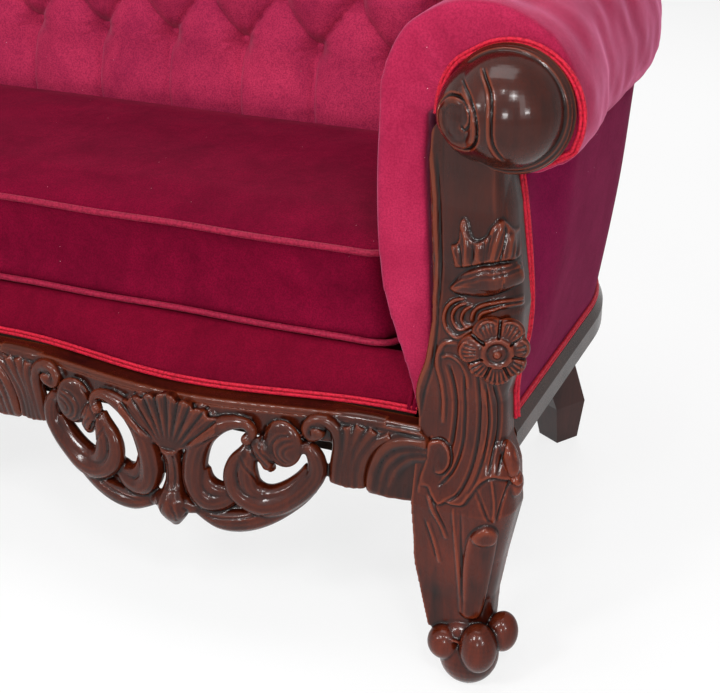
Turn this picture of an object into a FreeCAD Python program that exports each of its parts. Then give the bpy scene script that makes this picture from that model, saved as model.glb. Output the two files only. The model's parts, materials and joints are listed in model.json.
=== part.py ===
import FreeCAD, Part
import math
import os

# Two-seat settee: carved frame, rolled arms, tufted back, loose seat cushion.
# X runs across the seat, Y from front to back, Z up. The origin is on the floor, at the middle of the plan.
# Most upholstery follows one line in plan, the roll line: up each arm, round the rear corner, across the back.
# A section across that line is drawn as (out, up): out is measured outwards from the line.

Vector = FreeCAD.Vector
Z_AXIS = Vector(0, 0, 1)
ORIGIN = Vector(0, 0, 0)

SIZES = {
    # plan
    "arm_line": (610, "roll line of the arm, from the middle of the seat"),
    "corner_radius": (235, "radius of the roll line round the rear corner"),
    "arm_run": (347, "front line to where the corner starts"),
    "front_reach": (60, "furthest carving ahead of the front line"),
    "rail_bow": (30, "how far each half of the front rail bows forwards"),
    "rail_setback": (10, "carved rail ahead of the front line at its ends"),
    "motif_line": (290, "middle of each carved motif, from the middle of the seat"),
    "motif_half": (245, "half the width of a carved motif"),
    "corner_split": (45, "degrees of the rear corner that belong to the arm"),
    # roll and upholstery
    "roll_height": (645, "height of the roll's middle"),
    "roll_radius": (100, "radius of the roll, above and inside the roll line"),
    "roll_out": (88, "reach of the roll outside the roll line"),
    "roll_drop": (57, "flat underside of the roll, below its middle"),
    "pad_inner_low": (66, "arm pad inside the roll line at its foot"),
    "pad_inner_mid": (96, "arm pad inside the roll line beside the cushion"),
    "pad_bulge": (4, "bulge of the arm pad between its foot, its middle and the roll"),
    "pad_rear": (42, "plane that the arm and back pads lie against, inside the roll line"),
    "pad_mid_height": (467, "height of the cushion's top welt"),
    "back_face_low": (106, "tufted face inside the roll line at the seat"),
    "back_face_high": (84, "tufted face inside the roll line under the roll"),
    "pad_foot": (310.5, "underside of the arm and back pads"),
    "panel_low": (30, "outer panel outside the roll line at the rail"),
    "panel_high": (60, "outer panel outside the roll line under the roll"),
    "panel_thick": (5, "outer panel with its cover"),
    # tufting
    "button_pitch": (110, "buttons in a row"),
    "button_row": (545, "height of the lowest row"),
    "row_pitch": (68, "one row to the next"),
    "puff": (9, "height of the puffs between the pleats"),
    "tuft_depth": (9, "depth of a button under the pleats"),
    "button_radius": (9, "covered button"),
    "button_height": (5, "covered button over its seat"),
    "tuft_under": (5, "top of the tufted face, where the roll starts, under the roll's middle"),
    # front post
    "post_line": (626, "middle of the foot, from the middle of the seat"),
    "post_rear": (40, "back of the post behind the front line"),
    "post_head": (7, "head of the post below the roll's middle"),
    "collar_rise": (78, "carved collar above the rosette"),
    "rosette_height": (412, "middle of the rosette"),
    "knee_height": (220, "knee of the front leg"),
    "ankle_height": (62, "ankle of the front leg"),
    "foot_radius": (34, "base ball of the foot"),
    "toe_radius": (19, "ball toes"),
    # scroll
    "ball_radius": (53, "smooth ball of the scroll"),
    "volute_radius": (33, "volute of the scroll"),
    "scroll_spread": (50, "middle of the ball to the middle of the volute"),
    "ring_radius": (57, "largest ring moulding round the ball"),
    "ring_bead": (4, "radius of a ring moulding"),
    "rosette_radius": (34, "rosette over its petals"),
    "rosette_relief": (10, "rosette's height over the post"),
    # rails
    "rail_top": (307, "top of the visible rails"),
    "rail_band": (20, "plain band along the top of the carved rail"),
    "rail_low": (217, "underside of the carved rail's plain ends"),
    "rail_rear": (12, "back of the carved rail behind the front line"),
    "apron_low": (147, "lowest point of the pendant"),
    "apron_thick": (34, "carved apron from front to back"),
    "moulding_low": (267, "underside of the side moulding"),
    "moulding_out": (46, "side moulding outside the roll line"),
    "moulding_in": (6, "back of the side moulding outside the roll line"),
    "moulding_bevel": (6, "bevel of the side moulding"),
    "frame_top": (303, "top of the seat frame"),
    "frame_depth": (58, "height of the seat frame's rails"),
    "frame_thick": (30, "thickness of the front and cross rails"),
    "cross_depth": (46, "height of the cross rail, clear of the springs"),
    "frame_in": (40, "inner face of the seat frame's sides, inside the roll line"),
    "top_rail": (26, "height of the rails that carry the roll"),
    "rail_shy": (4, "top rail inside the outer panel"),
    "tack_rail": (24, "width and height of a tack rail"),
    "tack_height": (400, "underside of the tack rails"),
    "upright": (44, "square of the uprights"),
    # rear leg
    "leg_side": (62, "rear leg at the frame"),
    "leg_knee_side": (53, "rear leg at its lower bend"),
    "leg_foot_side": (38, "rear leg at the floor"),
    "leg_knee_height": (60, "lower bend of the rear leg"),
    "leg_turn": (32, "degrees that the rear leg is turned in plan"),
    "leg_angle": (53.2, "degrees from the side to the leg, about the corner's centre"),
    "leg_top_reach": (218, "top of the leg from the corner's centre"),
    "leg_foot_reach": (302, "foot of the leg from the corner's centre"),
    # seat
    "spring_wire": (3.5, "spring wire"),
    "spring_pitch": (110, "one spring to the next"),
    "spring_loop": (26, "half width of a spring"),
    "cover_thick": (1.2, "spring cover and dust cover"),
    "deck_top": (356, "top of the seat deck"),
    "cushion_low": (362, "lower welt of the cushion"),
    "cushion_high": (463, "upper welt of the cushion"),
    "cushion_crown": (16, "crown of the cushion above its upper welt"),
    "cushion_front": (52, "front of the cushion behind the front line"),
    "cushion_gap": (4, "cushion clear of the arms and the back"),
    "cushion_corner": (26, "front corners of the cushion in plan"),
    "cushion_lift": (120, "how far the cushion lifts before it is clear"),
    "welt_radius": (3.5, "piping of the cushion"),
    "border_front": (22, "foot of the front border behind the front line, at the posts"),
    "gimp_radius": (4, "gimp cord"),
    "fit": (0.3, "clearance between pieces that lie together"),
    "screw_radius": (2.5, "screw shank"),
    "screw_head": (5, "screw head radius"),
    "screw_length": (38, "screw under its head"),
}

doc = FreeCAD.newDocument("settee")
sheet = doc.addObject("Spreadsheet::Sheet", "sizes")
for row, (alias, (value, note)) in enumerate(SIZES.items(), start=1):
    sheet.set("A%d" % row, note)
    sheet.set("B%d" % row, str(value))
    sheet.setAlias("B%d" % row, alias)
doc.recompute()
size = {alias: float(getattr(sheet, alias)) for alias in SIZES}

# Places worked out from the sizes
back_reach = size["arm_run"] + size["corner_radius"] + size["roll_out"]
front = -(back_reach - size["front_reach"]) / 2
corner_y = front + size["arm_run"]
corner_x = size["arm_line"] - size["corner_radius"]
back_y = corner_y + size["corner_radius"]
fit = size["fit"]
roll_base = size["roll_height"] - size["roll_drop"]
tufted_top = size["roll_height"] - size["tuft_under"]
FRONT = "(sizes.front_reach - sizes.arm_run - sizes.corner_radius - sizes.roll_out) / 2"
parts = []


# Helpers
def finish(obj, name):
    """Label an object and put it on the list of pieces."""
    obj.Label = name
    parts.append(obj)
    return obj


def feature(name, shape):
    obj = doc.addObject("Part::Feature", name)
    obj.Shape = shape
    obj.Placement = FreeCAD.Placement()
    return finish(obj, name)


def mirrored(source, name):
    obj = doc.addObject("Part::Mirroring", name)
    obj.Source = source
    obj.Normal = Vector(1, 0, 0)
    obj.Base = ORIGIN
    return finish(obj, name)


def both(name, shape):
    """A right-hand piece and its mirror image."""
    right = feature(name + "_right", shape)
    mirrored(right, name + "_left")


def box(name, **expressions):
    obj = doc.addObject("Part::Box", name)
    for prop, text in expressions.items():
        obj.setExpression(prop.replace("_", "."), text)
    return finish(obj, name)


def outline_face(start, moves, place):
    """A face from a start point and moves: a point is a line to it, a pair is an arc through and to."""
    edges = []
    here = start
    for move in list(moves) + [start]:
        if isinstance(move[0], tuple):
            edges.append(Part.Arc(place(*here), place(*move[0]), place(*move[1])).toShape())
            here = move[1]
        elif move != here:
            edges.append(Part.LineSegment(place(*here), place(*move)).toShape())
            here = move
    return Part.Face(Part.Wire(edges))


def across_arm(out, up):
    """A section point at the right arm, where the corner starts."""
    return Vector(size["arm_line"] + out, corner_y, up)


def joined(shapes):
    solid = shapes[0]
    for shape in shapes[1:]:
        solid = solid.fuse(shape)
    return solid.removeSplitter()


def turned(shape, degrees):
    return shape.rotated(Vector(corner_x, corner_y, 0), Z_AXIS, degrees)


def arm_run(section, start, degrees=None):
    """Carry a section along the right arm from Y = start, and round part of the corner."""
    degrees = size["corner_split"] if degrees is None else degrees
    straight = section.extrude(Vector(0, start - corner_y, 0))
    if not degrees:
        return straight
    return joined([straight, section.revolve(Vector(corner_x, corner_y, 0), Z_AXIS, degrees)])


def back_run(section, degrees=None):
    """Carry a section across the back and round the rest of both corners."""
    degrees = 90 - size["corner_split"] if degrees is None else degrees
    end = turned(section, 90)
    straight = end.extrude(Vector(-2 * corner_x, 0, 0))
    if not degrees:
        return straight
    corner = end.revolve(Vector(corner_x, corner_y, 0), Z_AXIS, -degrees)
    return joined([straight, corner, corner.mirror(ORIGIN, Vector(1, 0, 0))])


def rectangle(out_1, up_1, out_2, up_2):
    return outline_face((out_1, up_1), [(out_2, up_1), (out_2, up_2), (out_1, up_2)], across_arm)


def round_section(out, up, radius):
    circle = Part.Circle(across_arm(out, up), Vector(0, 1, 0), radius)
    return Part.Face(Part.Wire(circle.toShape()))


def on_corner(reach, degrees, height):
    """A point by its distance from the rear corner's centre and its angle from +X."""
    angle = math.radians(degrees)
    return Vector(corner_x + reach * math.cos(angle), corner_y + reach * math.sin(angle), height)


def ring(points):
    return Part.makePolygon(points + [points[0]])


def origin_plane(body, role):
    return [plane for plane in body.Origin.OriginFeatures if plane.Role == role][0]


def new_body(name):
    body = doc.addObject("PartDesign::Body", name)
    return finish(body, name)


def new_sketch(body, name, role, offset=0.0):
    sketch = body.newObject("Sketcher::SketchObject", name)
    sketch.AttachmentSupport = [(origin_plane(body, role), "")]
    sketch.MapMode = "FlatFace"
    sketch.AttachmentOffset = FreeCAD.Placement(Vector(0, 0, offset), FreeCAD.Rotation())
    return sketch


def draw(sketch, points):
    for (u_1, v_1), (u_2, v_2) in zip(points, points[1:] + points[:1]):
        sketch.addGeometry(Part.LineSegment(Vector(u_1, v_1, 0), Vector(u_2, v_2, 0)), False)


# Front post, with its leg and foot
def post_section(height, left, right, ahead, behind, grown):
    """One level of the post: a rectangle whose front right corner is rounded."""
    x_1 = size["post_line"] - left - grown
    x_2 = size["post_line"] + right + grown
    y_1 = front - ahead - grown
    y_2 = front + behind + grown
    curve = (ahead + behind) * 0.6
    edges = [
        Part.LineSegment(Vector(x_1, y_2, height), Vector(x_1, y_1, height)).toShape(),
        Part.LineSegment(Vector(x_1, y_1, height), Vector(x_2 - curve, y_1, height)).toShape(),
        Part.Arc(
            Vector(x_2 - curve, y_1, height),
            Vector(x_2 - 0.293 * curve, y_1 + 0.293 * curve, height),
            Vector(x_2, y_1 + curve, height),
        ).toShape(),
        Part.LineSegment(Vector(x_2, y_1 + curve, height), Vector(x_2, y_2, height)).toShape(),
        Part.LineSegment(Vector(x_2, y_2, height), Vector(x_1, y_2, height)).toShape(),
    ]
    return Part.Wire(edges)


def post_levels():
    """Heights from ankle to head, each with the post's reach left, right, ahead and behind."""
    rear = size["post_rear"]
    knee = size["knee_height"]
    rosette_low = size["rosette_height"] - knee
    collar = size["rosette_height"] + size["collar_rise"]
    return [
        (size["ankle_height"], 47, 20, 6, rear - 8),
        (size["ankle_height"] + 44, 57, 21, 6, rear - 4),
        (size["ankle_height"] + 92, 66, 28, 12, rear),
        (knee, 73, 41, 20, rear),
        (knee + rosette_low * 0.42, 75, 35, 8, rear),
        (knee + rosette_low * 0.64, 73, 35, 6, rear),
        (size["rosette_height"] - 8, 60, 44, 14, rear),
        (size["rosette_height"] + 34, 56, 47, 14, rear),
        (collar, 59, 42, 5, rear),
        (collar + (roll_base - collar) * 0.6, 63, 35, 0, rear),
        (roll_base, 65, 27, 0, rear),
        (size["roll_height"] - size["post_head"], 62, 24, 0, rear),
    ]


def post_body(grown=0.0):
    wires = [post_section(*level, grown) for level in post_levels()]
    if grown:
        head, *reach = post_levels()[-1]
        wires.append(post_section(head + grown, *reach, grown))
    return Part.makeLoft(wires, True, True)


def front_foot():
    """The base ball, cut flat on the floor, with ball toes round its front."""
    centre = Vector(size["post_line"] - 6, front + 8, 0)
    radius = size["foot_radius"]
    base = Part.makeSphere(radius, centre + Vector(0, 0, radius - 4))
    ankle = Part.makeCylinder(radius * 0.9, size["ankle_height"] - radius, centre + Vector(0, 0, radius))
    toes = []
    for degrees in (180, 235, 290, 345):
        angle = math.radians(degrees)
        reach = radius - 4
        spot = centre + Vector(reach * math.cos(angle), reach * math.sin(angle), radius + 6)
        toes.append(Part.makeSphere(size["toe_radius"], spot))
    foot = joined([base, ankle] + toes)
    floor = Part.makeBox(4 * radius, 4 * radius, radius, centre - Vector(2 * radius, 2 * radius, radius))
    return foot.cut(floor)


both("front_post", joined([post_body(), front_foot()]))


# Arm scroll on the head of the post
scroll_x = size["post_line"] + 19
scroll_face = front - fit


def arm_scroll():
    """The ball and the volute on a drum, with ring mouldings round the drum."""
    ball_at = Vector(scroll_x, scroll_face, size["roll_height"])
    volute_at = ball_at - Vector(size["scroll_spread"], 0, 5)
    back = Vector(0, 1, 0)
    pieces = []
    for depth, bead_ring in ((8, size["ring_radius"]), (16, size["ring_radius"] - 3)):
        pieces.append(Part.makeTorus(bead_ring, size["ring_bead"], ball_at - Vector(0, depth, 0), back))
    drum = size["ring_radius"] + size["ring_bead"] / 2
    pieces.append(Part.makeCylinder(drum, 20, ball_at - Vector(0, 20, 0), back))
    pieces.append(Part.makeCylinder(size["volute_radius"], 30, volute_at - Vector(0, 30, 0), back))
    pieces.append(Part.makeSphere(size["ball_radius"], ball_at - Vector(0, 6, 0)))
    pieces.append(Part.makeSphere(size["volute_radius"], volute_at - Vector(0, 24, 0)))
    behind = 2 * size["ball_radius"]
    cut = Part.makeBox(4 * behind, behind, 4 * behind, ball_at - Vector(2 * behind, 0, 2 * behind))
    return joined(pieces).cut(cut)


both("arm_scroll", arm_scroll())


# Rosette on the post, turned and with carved petals
def rosette(name):
    body = new_body(name)
    profile = new_sketch(body, name + "_profile", "XZ_Plane")
    radius = size["rosette_radius"]
    relief = size["rosette_relief"]
    draw(profile, [(0, 0), (radius * 0.62, 0), (radius * 0.62, relief * 0.5), (radius * 0.36, relief), (0, relief)])
    turn = body.newObject("PartDesign::Revolution", name + "_turn")
    turn.Profile = profile
    turn.ReferenceAxis = (profile, ["V_Axis"])
    turn.Angle = 360
    petal_plan = new_sketch(body, name + "_petal_plan", "XY_Plane")
    petal = radius * 0.38
    petal_plan.addGeometry(Part.Circle(Vector(radius - petal, 0, 0), Z_AXIS, petal), False)
    pad = body.newObject("PartDesign::Pad", name + "_petal")
    pad.Profile = petal_plan
    pad.setExpression("Length", "sizes.rosette_relief * 0.6")
    doc.recompute()
    petals = body.newObject("PartDesign::PolarPattern", name + "_petals")
    petals.Originals = [pad]
    petals.Axis = (petal_plan, ["N_Axis"])
    petals.Angle = 360
    petals.Occurrences = 6
    body.Tip = petals
    outward = FreeCAD.Rotation(Vector(1, 0, 0), 90)
    spot = Vector(size["post_line"] + 6, front - 14 - fit, size["rosette_height"] + 14)
    body.Placement = FreeCAD.Placement(spot, outward)
    return body


mirrored(rosette("post_rosette_right"), "post_rosette_left")


# Carved front rail and its pierced aprons
def rail_front(x, relief=0.0):
    """Y of the bowed front at X: one bow on each side of the middle."""
    away = min(abs(abs(x) - size["motif_line"]) / size["motif_half"], 1)
    bow = size["rail_bow"] * 0.5 * (1 + math.cos(math.pi * away))
    return front - size["rail_setback"] - bow - relief


def bowed_slab(left, right, relief, depth, low, high):
    """A slab that follows the bow from left to right, as thick as depth."""
    count = 24
    stops = [left + (right - left) * i / count for i in range(count + 1)]
    curve = Part.BSplineCurve()
    curve.interpolate([Vector(x, rail_front(x, relief), low) for x in stops])
    if depth:
        rear = Part.BSplineCurve()
        rear.interpolate([Vector(x, rail_front(x, relief) + depth, low) for x in stops])
        rear_edge = rear.toShape()
    else:
        rear_y = front + size["rail_rear"]
        rear_edge = Part.LineSegment(Vector(left, rear_y, low), Vector(right, rear_y, low)).toShape()
    ends = [
        Part.LineSegment(curve.toShape().Vertexes[i].Point, rear_edge.Vertexes[i].Point).toShape()
        for i in (0, 1)
    ]
    wire = Part.Wire(Part.__sortEdges__([curve.toShape(), ends[0], ends[1], rear_edge]))
    return Part.Face(wire).extrude(Vector(0, 0, high - low))


post_inner = size["post_line"] - 73 - fit
rail_end = size["post_line"] - 76


def carved_front_rail():
    """The band along the top, with plain ends that reach lower beside the posts and in the middle."""
    slab = bowed_slab(-rail_end, rail_end, 0, 0, size["rail_low"], size["rail_top"])
    band_low = size["rail_top"] - size["rail_band"]
    reach = size["motif_half"] - 8
    for middle in (-size["motif_line"], size["motif_line"]):
        gap = Part.makeBox(
            2 * reach,
            size["apron_thick"] * 4,
            band_low - size["rail_low"] + 1,
            Vector(middle - reach, front - 3 * size["apron_thick"], size["rail_low"] - 1),
        )
        slab = slab.cut(gap)
    return slab


feature("carved_front_rail", carved_front_rail())


def flat_ring(centre_x, centre_z, outer, inner, squash):
    """A carved C-scroll: an oval ring in the face of the apron."""
    face = Part.Face(Part.Wire(Part.Circle(ORIGIN, Vector(0, 1, 0), outer).toShape()))
    if inner:
        face = face.cut(Part.Face(Part.Wire(Part.Circle(ORIGIN, Vector(0, 1, 0), inner).toShape())))
    matrix = FreeCAD.Matrix()
    matrix.scale(squash, 1, 1)
    face = face.transformGeometry(matrix)
    face.translate(Vector(centre_x, 0, centre_z))
    return face.extrude(Vector(0, 4 * size["apron_thick"], 0))


def apron():
    """Shell, column and pendant between pierced scrolls, cut from a bowed plank."""
    middle = size["motif_line"]
    low = size["apron_low"]
    high = size["rail_top"] - size["rail_band"] - fit
    start = front - 3 * size["apron_thick"]
    pieces = []
    half = size["motif_half"] - 8 - fit
    for side in (-1, 1):
        outer = [
            (0, high),
            (side * half, high),
            (side * half, size["rail_low"] + 6),
            (side * (half - 58), size["rail_low"]),
            (side * (half - 70), size["rail_low"] + 34),
            (side * 150, high - 12),
            (side * 80, high - 22),
            (side * 22, size["rail_low"] + 14),
            (0, size["rail_low"] + 14),
        ]
        plate = Part.Face(ring([Vector(x, 0, z) for x, z in outer]))
        pieces.append(plate.extrude(Vector(0, 4 * size["apron_thick"], 0)))
        pieces.append(flat_ring(side * 65, low + 79, 64, 40, 0.8))
        pieces.append(flat_ring(side * 128, low + 72, 50, 30, 1.05))
        pieces.append(flat_ring(side * 136, low + 114, 26, 0, 1))
    pieces.append(flat_ring(0, low + 22, 22, 0, 1))
    column = Part.makeBox(24, 4 * size["apron_thick"], size["rail_low"] + 20 - low - 20, Vector(-12, 0, low + 20))
    pieces.append(column)
    pattern = joined(pieces)
    pattern.translate(Vector(middle, start, 0))
    relief = size["front_reach"] - size["rail_setback"] - size["rail_bow"]
    plank = bowed_slab(middle - half - 1, middle + half + 1, relief, size["apron_thick"], low - 5, high)
    return plank.common(pattern)


both("carved_apron", apron())


# Seat frame and the visible mouldings round the sides and the back
side_start = front + size["post_rear"]
moulding = [
    (size["moulding_out"] - size["moulding_bevel"], size["moulding_low"]),
    (size["moulding_out"], size["moulding_low"] + size["moulding_bevel"]),
    (size["moulding_out"], size["rail_top"] - 2 * size["moulding_bevel"]),
    (size["moulding_out"] - size["moulding_bevel"], size["rail_top"]),
    (size["moulding_in"], size["rail_top"]),
]


def side_moulding(name):
    """A pipe: the moulded section follows the side and then the rounded corner."""
    body = new_body(name)
    path = new_sketch(body, name + "_path", "XY_Plane")
    reach = size["corner_radius"] + size["moulding_in"]
    path.addGeometry(
        Part.LineSegment(Vector(corner_x + reach, side_start, 0), Vector(corner_x + reach, corner_y, 0)), False
    )
    bend = Part.Circle(Vector(corner_x, corner_y, 0), Z_AXIS, reach)
    path.addGeometry(Part.ArcOfCircle(bend, 0, math.pi / 2), False)
    profile = new_sketch(body, name + "_profile", "XZ_Plane", -side_start)
    start = (size["moulding_in"], size["moulding_low"])
    draw(profile, [(size["arm_line"] + out, up) for out, up in [start] + moulding])
    doc.recompute()
    pipe = body.newObject("PartDesign::AdditivePipe", name + "_pipe")
    pipe.Profile = profile
    pipe.Spine = (path, ["Edge1", "Edge2"])
    return body


mirrored(side_moulding("side_moulding_right"), "side_moulding_left")
section = outline_face((size["moulding_in"], size["moulding_low"]), moulding, across_arm)
feature("back_moulding", back_run(section, 0))

frame_low = size["frame_top"] - size["frame_depth"]
frame_out = size["moulding_in"] - fit
frame_front_y = front + size["rail_rear"]
front_half = size["post_line"] - 76
cross_start = frame_front_y + size["frame_thick"]
block_leg = 55
screw_in = 20
leg_screw_out = -18
leg_screw_turn = 6


def rod(start, way, radius, length):
    return Part.makeCylinder(radius, length, start, way)


def screw(start, way, length):
    """A countersunk screw whose head is flush at its start."""
    head = Part.makeCone(size["screw_head"], size["screw_radius"], size["screw_head"], start, way)
    return joined([head, rod(start, way, size["screw_radius"], length)])


def screw_hole(start, way, length):
    """The hole that a screw lies in, open above its head."""
    head = rod(start - way * 60, way, size["screw_head"] + fit, 60 + size["screw_head"])
    return joined([head, rod(start, way, size["screw_radius"] + fit, length + fit)])


block_spots = [
    (size["frame_thick"] / 2, 1),
    (-size["frame_thick"] / 2, -1),
    (front_half - 4, -1),
    (4 - front_half, 1),
]
forwards = Vector(0, -1, 0)
downwards = Vector(0, 0, -1)
block_screw_starts = [
    Vector(x + way * screw_in, cross_start + block_leg - screw_in - 8, frame_low + size["frame_depth"] * 0.35)
    for x, way in block_spots
]
leg_screw_length = size["frame_depth"] + size["screw_length"]
leg_screw_starts = [
    on_corner(size["corner_radius"] + leg_screw_out, 45 + turn, size["frame_top"] - 1)
    for turn in (-leg_screw_turn, leg_screw_turn)
]
block_holes = [screw_hole(start, forwards, size["screw_length"]) for start in block_screw_starts]
leg_holes = [screw_hole(start, downwards, leg_screw_length) for start in leg_screw_starts]
leg_holes_left = [hole.mirror(ORIGIN, Vector(1, 0, 0)) for hole in leg_holes]

section = rectangle(-size["frame_in"], frame_low, frame_out, size["frame_top"])
both("seat_frame_side", arm_run(section, side_start).cut(leg_holes))
feature("seat_frame_back", back_run(section).cut(leg_holes + leg_holes_left))
feature(
    "seat_frame_front",
    Part.makeBox(
        2 * front_half,
        size["frame_thick"],
        size["frame_depth"],
        Vector(-front_half, frame_front_y, frame_low),
    ).cut(block_holes),
)
box(
    "seat_frame_cross",
    Length="sizes.frame_thick",
    Width="sizes.arm_run + sizes.corner_radius - sizes.frame_in - sizes.rail_rear - sizes.frame_thick",
    Height="sizes.cross_depth",
    Placement_Base_x="-sizes.frame_thick / 2",
    Placement_Base_y=FRONT + " + sizes.rail_rear + sizes.frame_thick",
    Placement_Base_z="sizes.frame_top - sizes.frame_depth",
)


def corner_blocks():
    """Triangular blocks glued behind the front rail: at the middle on both sides, and near the sides."""
    blocks = []
    for x, way in block_spots:
        corner = Vector(x, cross_start, frame_low)
        face = Part.Face(ring([corner, corner + Vector(way * block_leg, 0, 0), corner + Vector(0, block_leg, 0)]))
        blocks.append(face.extrude(Vector(0, 0, size["frame_depth"] * 0.7)).cut(block_holes))
    return Part.makeCompound(blocks)


feature("corner_blocks", corner_blocks())
feature("corner_screws", Part.makeCompound([screw(at, forwards, size["screw_length"]) for at in block_screw_starts]))
leg_screws = [screw(at, downwards, leg_screw_length) for at in leg_screw_starts]
leg_screws += [one.mirror(ORIGIN, Vector(1, 0, 0)) for one in leg_screws]
feature("rear_leg_screws", Part.makeCompound(leg_screws))


# Rear legs, square, raked out from under the corner
def leg_level(reach, side, height):
    centre = on_corner(reach, size["leg_angle"], height)
    half = side / 2
    corners = [Vector(a * half, b * half, 0) for a, b in ((-1, -1), (1, -1), (1, 1), (-1, 1))]
    turn = FreeCAD.Rotation(Z_AXIS, -size["leg_turn"])
    return ring([centre + turn.multVec(corner) for corner in corners])


def rear_leg():
    """Three levels, notched at the top round the seat frame."""
    leg = Part.makeLoft(
        [
            leg_level(size["leg_foot_reach"], size["leg_foot_side"], 0),
            leg_level(size["leg_foot_reach"] - 4, size["leg_knee_side"], size["leg_knee_height"]),
            leg_level(size["leg_top_reach"], size["leg_side"], size["moulding_low"] - fit),
        ],
        True,
        True,
    )
    notch = rectangle(-size["frame_in"] - 60, frame_low, frame_out + fit, size["frame_top"])
    notch = notch.revolve(Vector(corner_x, corner_y, 0), Z_AXIS, 90)
    return leg.cut([notch] + leg_holes)


both("rear_leg", rear_leg())

# Rails that carry the roll and the pads, and the posts under them
rail_high = roll_base - fit
rail_under = rail_high - size["top_rail"]
pad_plane = -size["pad_rear"] + fit


def post_right(height):
    """The post's reach to the right at a height between its levels."""
    levels = post_levels()
    for (low, _, right, *_), (high, _, next_right, *_) in zip(levels, levels[1:]):
        if low <= height <= high:
            return right + (next_right - right) * (height - low) / (high - low)
    return levels[-1][2]


def post_gimp(grown=0.0):
    """Double welt behind the outer edge of the post, from the moulding to the roll, or its groove."""
    radius = size["gimp_radius"] - 0.5
    low = size["rail_top"] + fit
    high = roll_base - fit
    heights = [level[0] for level in post_levels() if low + 9 < level[0] < high - 9]
    wires = []
    for height in [low] + heights + [high]:
        spot = Vector(size["post_line"] + post_right(height) - radius, side_start + radius + fit, height)
        wires.append(Part.Wire(Part.Circle(spot, Z_AXIS, radius + grown).toShape()))
    return Part.makeLoft(wires, True, True)


section = rectangle(pad_plane, rail_under, size["panel_high"] - size["rail_shy"], rail_high)
gimp_room = post_gimp(fit).BoundBox
notch = Part.makeBox(
    gimp_room.XLength + 20,
    gimp_room.YMax - side_start + 1,
    size["top_rail"] + 4,
    Vector(gimp_room.XMin, side_start - 1, rail_under - 2),
)
both("arm_top_rail", arm_run(section, side_start).cut(notch))
feature("back_top_rail", back_run(section))
section = rectangle(
    pad_plane, size["tack_height"], pad_plane + size["tack_rail"], size["tack_height"] + size["tack_rail"]
)
both("arm_tack_rail", arm_run(section, side_start))
feature("back_tack_rail", back_run(section))

upright_in = pad_plane + size["tack_rail"] + fit
upright_foot = size["rail_top"] + fit
upright = Part.makeBox(
    size["upright"],
    size["upright"],
    rail_under - fit - upright_foot,
    Vector(size["arm_line"] + upright_in, corner_y - size["upright"] / 2, upright_foot),
)
both("corner_upright", turned(upright, 45))
box(
    "back_centre_post",
    Length="sizes.upright",
    Width="sizes.upright",
    Height="sizes.roll_height - sizes.roll_drop - sizes.top_rail - sizes.rail_top - 3 * sizes.fit",
    Placement_Base_x="-sizes.upright / 2",
    Placement_Base_y=FRONT + " + sizes.arm_run + sizes.corner_radius - sizes.pad_rear + sizes.tack_rail + 2 * sizes.fit",
    Placement_Base_z="sizes.rail_top + sizes.fit",
)


# Springs, spring cover and deck
def inner_rear(x, out):
    """Y of a line that lies out from the roll line, across the back and round the corner."""
    reach = size["corner_radius"] + out
    past = max(abs(x) - corner_x, 0)
    return corner_y + math.sqrt(reach * reach - past * past)


def snake(points, width):
    """A flat zigzag strip round a line of points that turns at right angles."""
    sides = []
    for way in (1, -1):
        side = []
        for i, point in enumerate(points):
            normals = []
            for a, b in ((i - 1, i), (i, i + 1)):
                if a >= 0 and b < len(points):
                    run = (points[b] - points[a]).normalize()
                    normals.append(Vector(-run.y, run.x, 0))
            shift = normals[0] + normals[1] if len(normals) > 1 else normals[0]
            side.append(point + shift * (way * width / 2))
        sides.append(side)
    return Part.Face(ring(sides[0] + sides[1][::-1]))


spring_count = int((front_half - 70) / size["spring_pitch"])
spring_places = [size["spring_pitch"] * i for i in range(-spring_count, spring_count + 1)]
spring_start = cross_start - 8
spring_base = size["frame_top"] + fit


def spring(x):
    """A zigzag spring from the front rail to the back rail."""
    end = inner_rear(x, -size["frame_in"]) + 10
    half = size["spring_loop"]
    turns = 2 * int((end - spring_start) / 44) + 1
    pitch = (end - spring_start) / turns
    points = []
    for i in range(turns + 1):
        y = spring_start + pitch * i
        way = 1 if i % 2 else -1
        points += [Vector(x - way * half, y, spring_base), Vector(x + way * half, y, spring_base)]
    return snake(points, size["spring_wire"]).extrude(Vector(0, 0, size["spring_wire"]))


feature("seat_springs", Part.makeCompound([spring(x) for x in spring_places]))

clip_wall = 1.2


def spring_clip(x, y):
    """A clip nailed on the rail over the spring's end bar."""
    wire = size["spring_wire"]
    height = wire + 2 * fit + clip_wall
    clip = Part.makeBox(16, wire + 2 * fit + 2 * clip_wall, height, Vector(x - 8, y - wire / 2 - fit - clip_wall, 0))
    slot = Part.makeBox(18, wire + 2 * fit, wire + 2 * fit, Vector(x - 9, y - wire / 2 - fit, 0))
    clip = clip.cut(slot)
    clip.translate(Vector(0, 0, size["frame_top"]))
    return clip


clips = []
for place in spring_places:
    clips.append(spring_clip(place, spring_start))
    clips.append(spring_clip(place, inner_rear(place, -size["frame_in"]) + 10))
feature("spring_clips", Part.makeCompound(clips))


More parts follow.
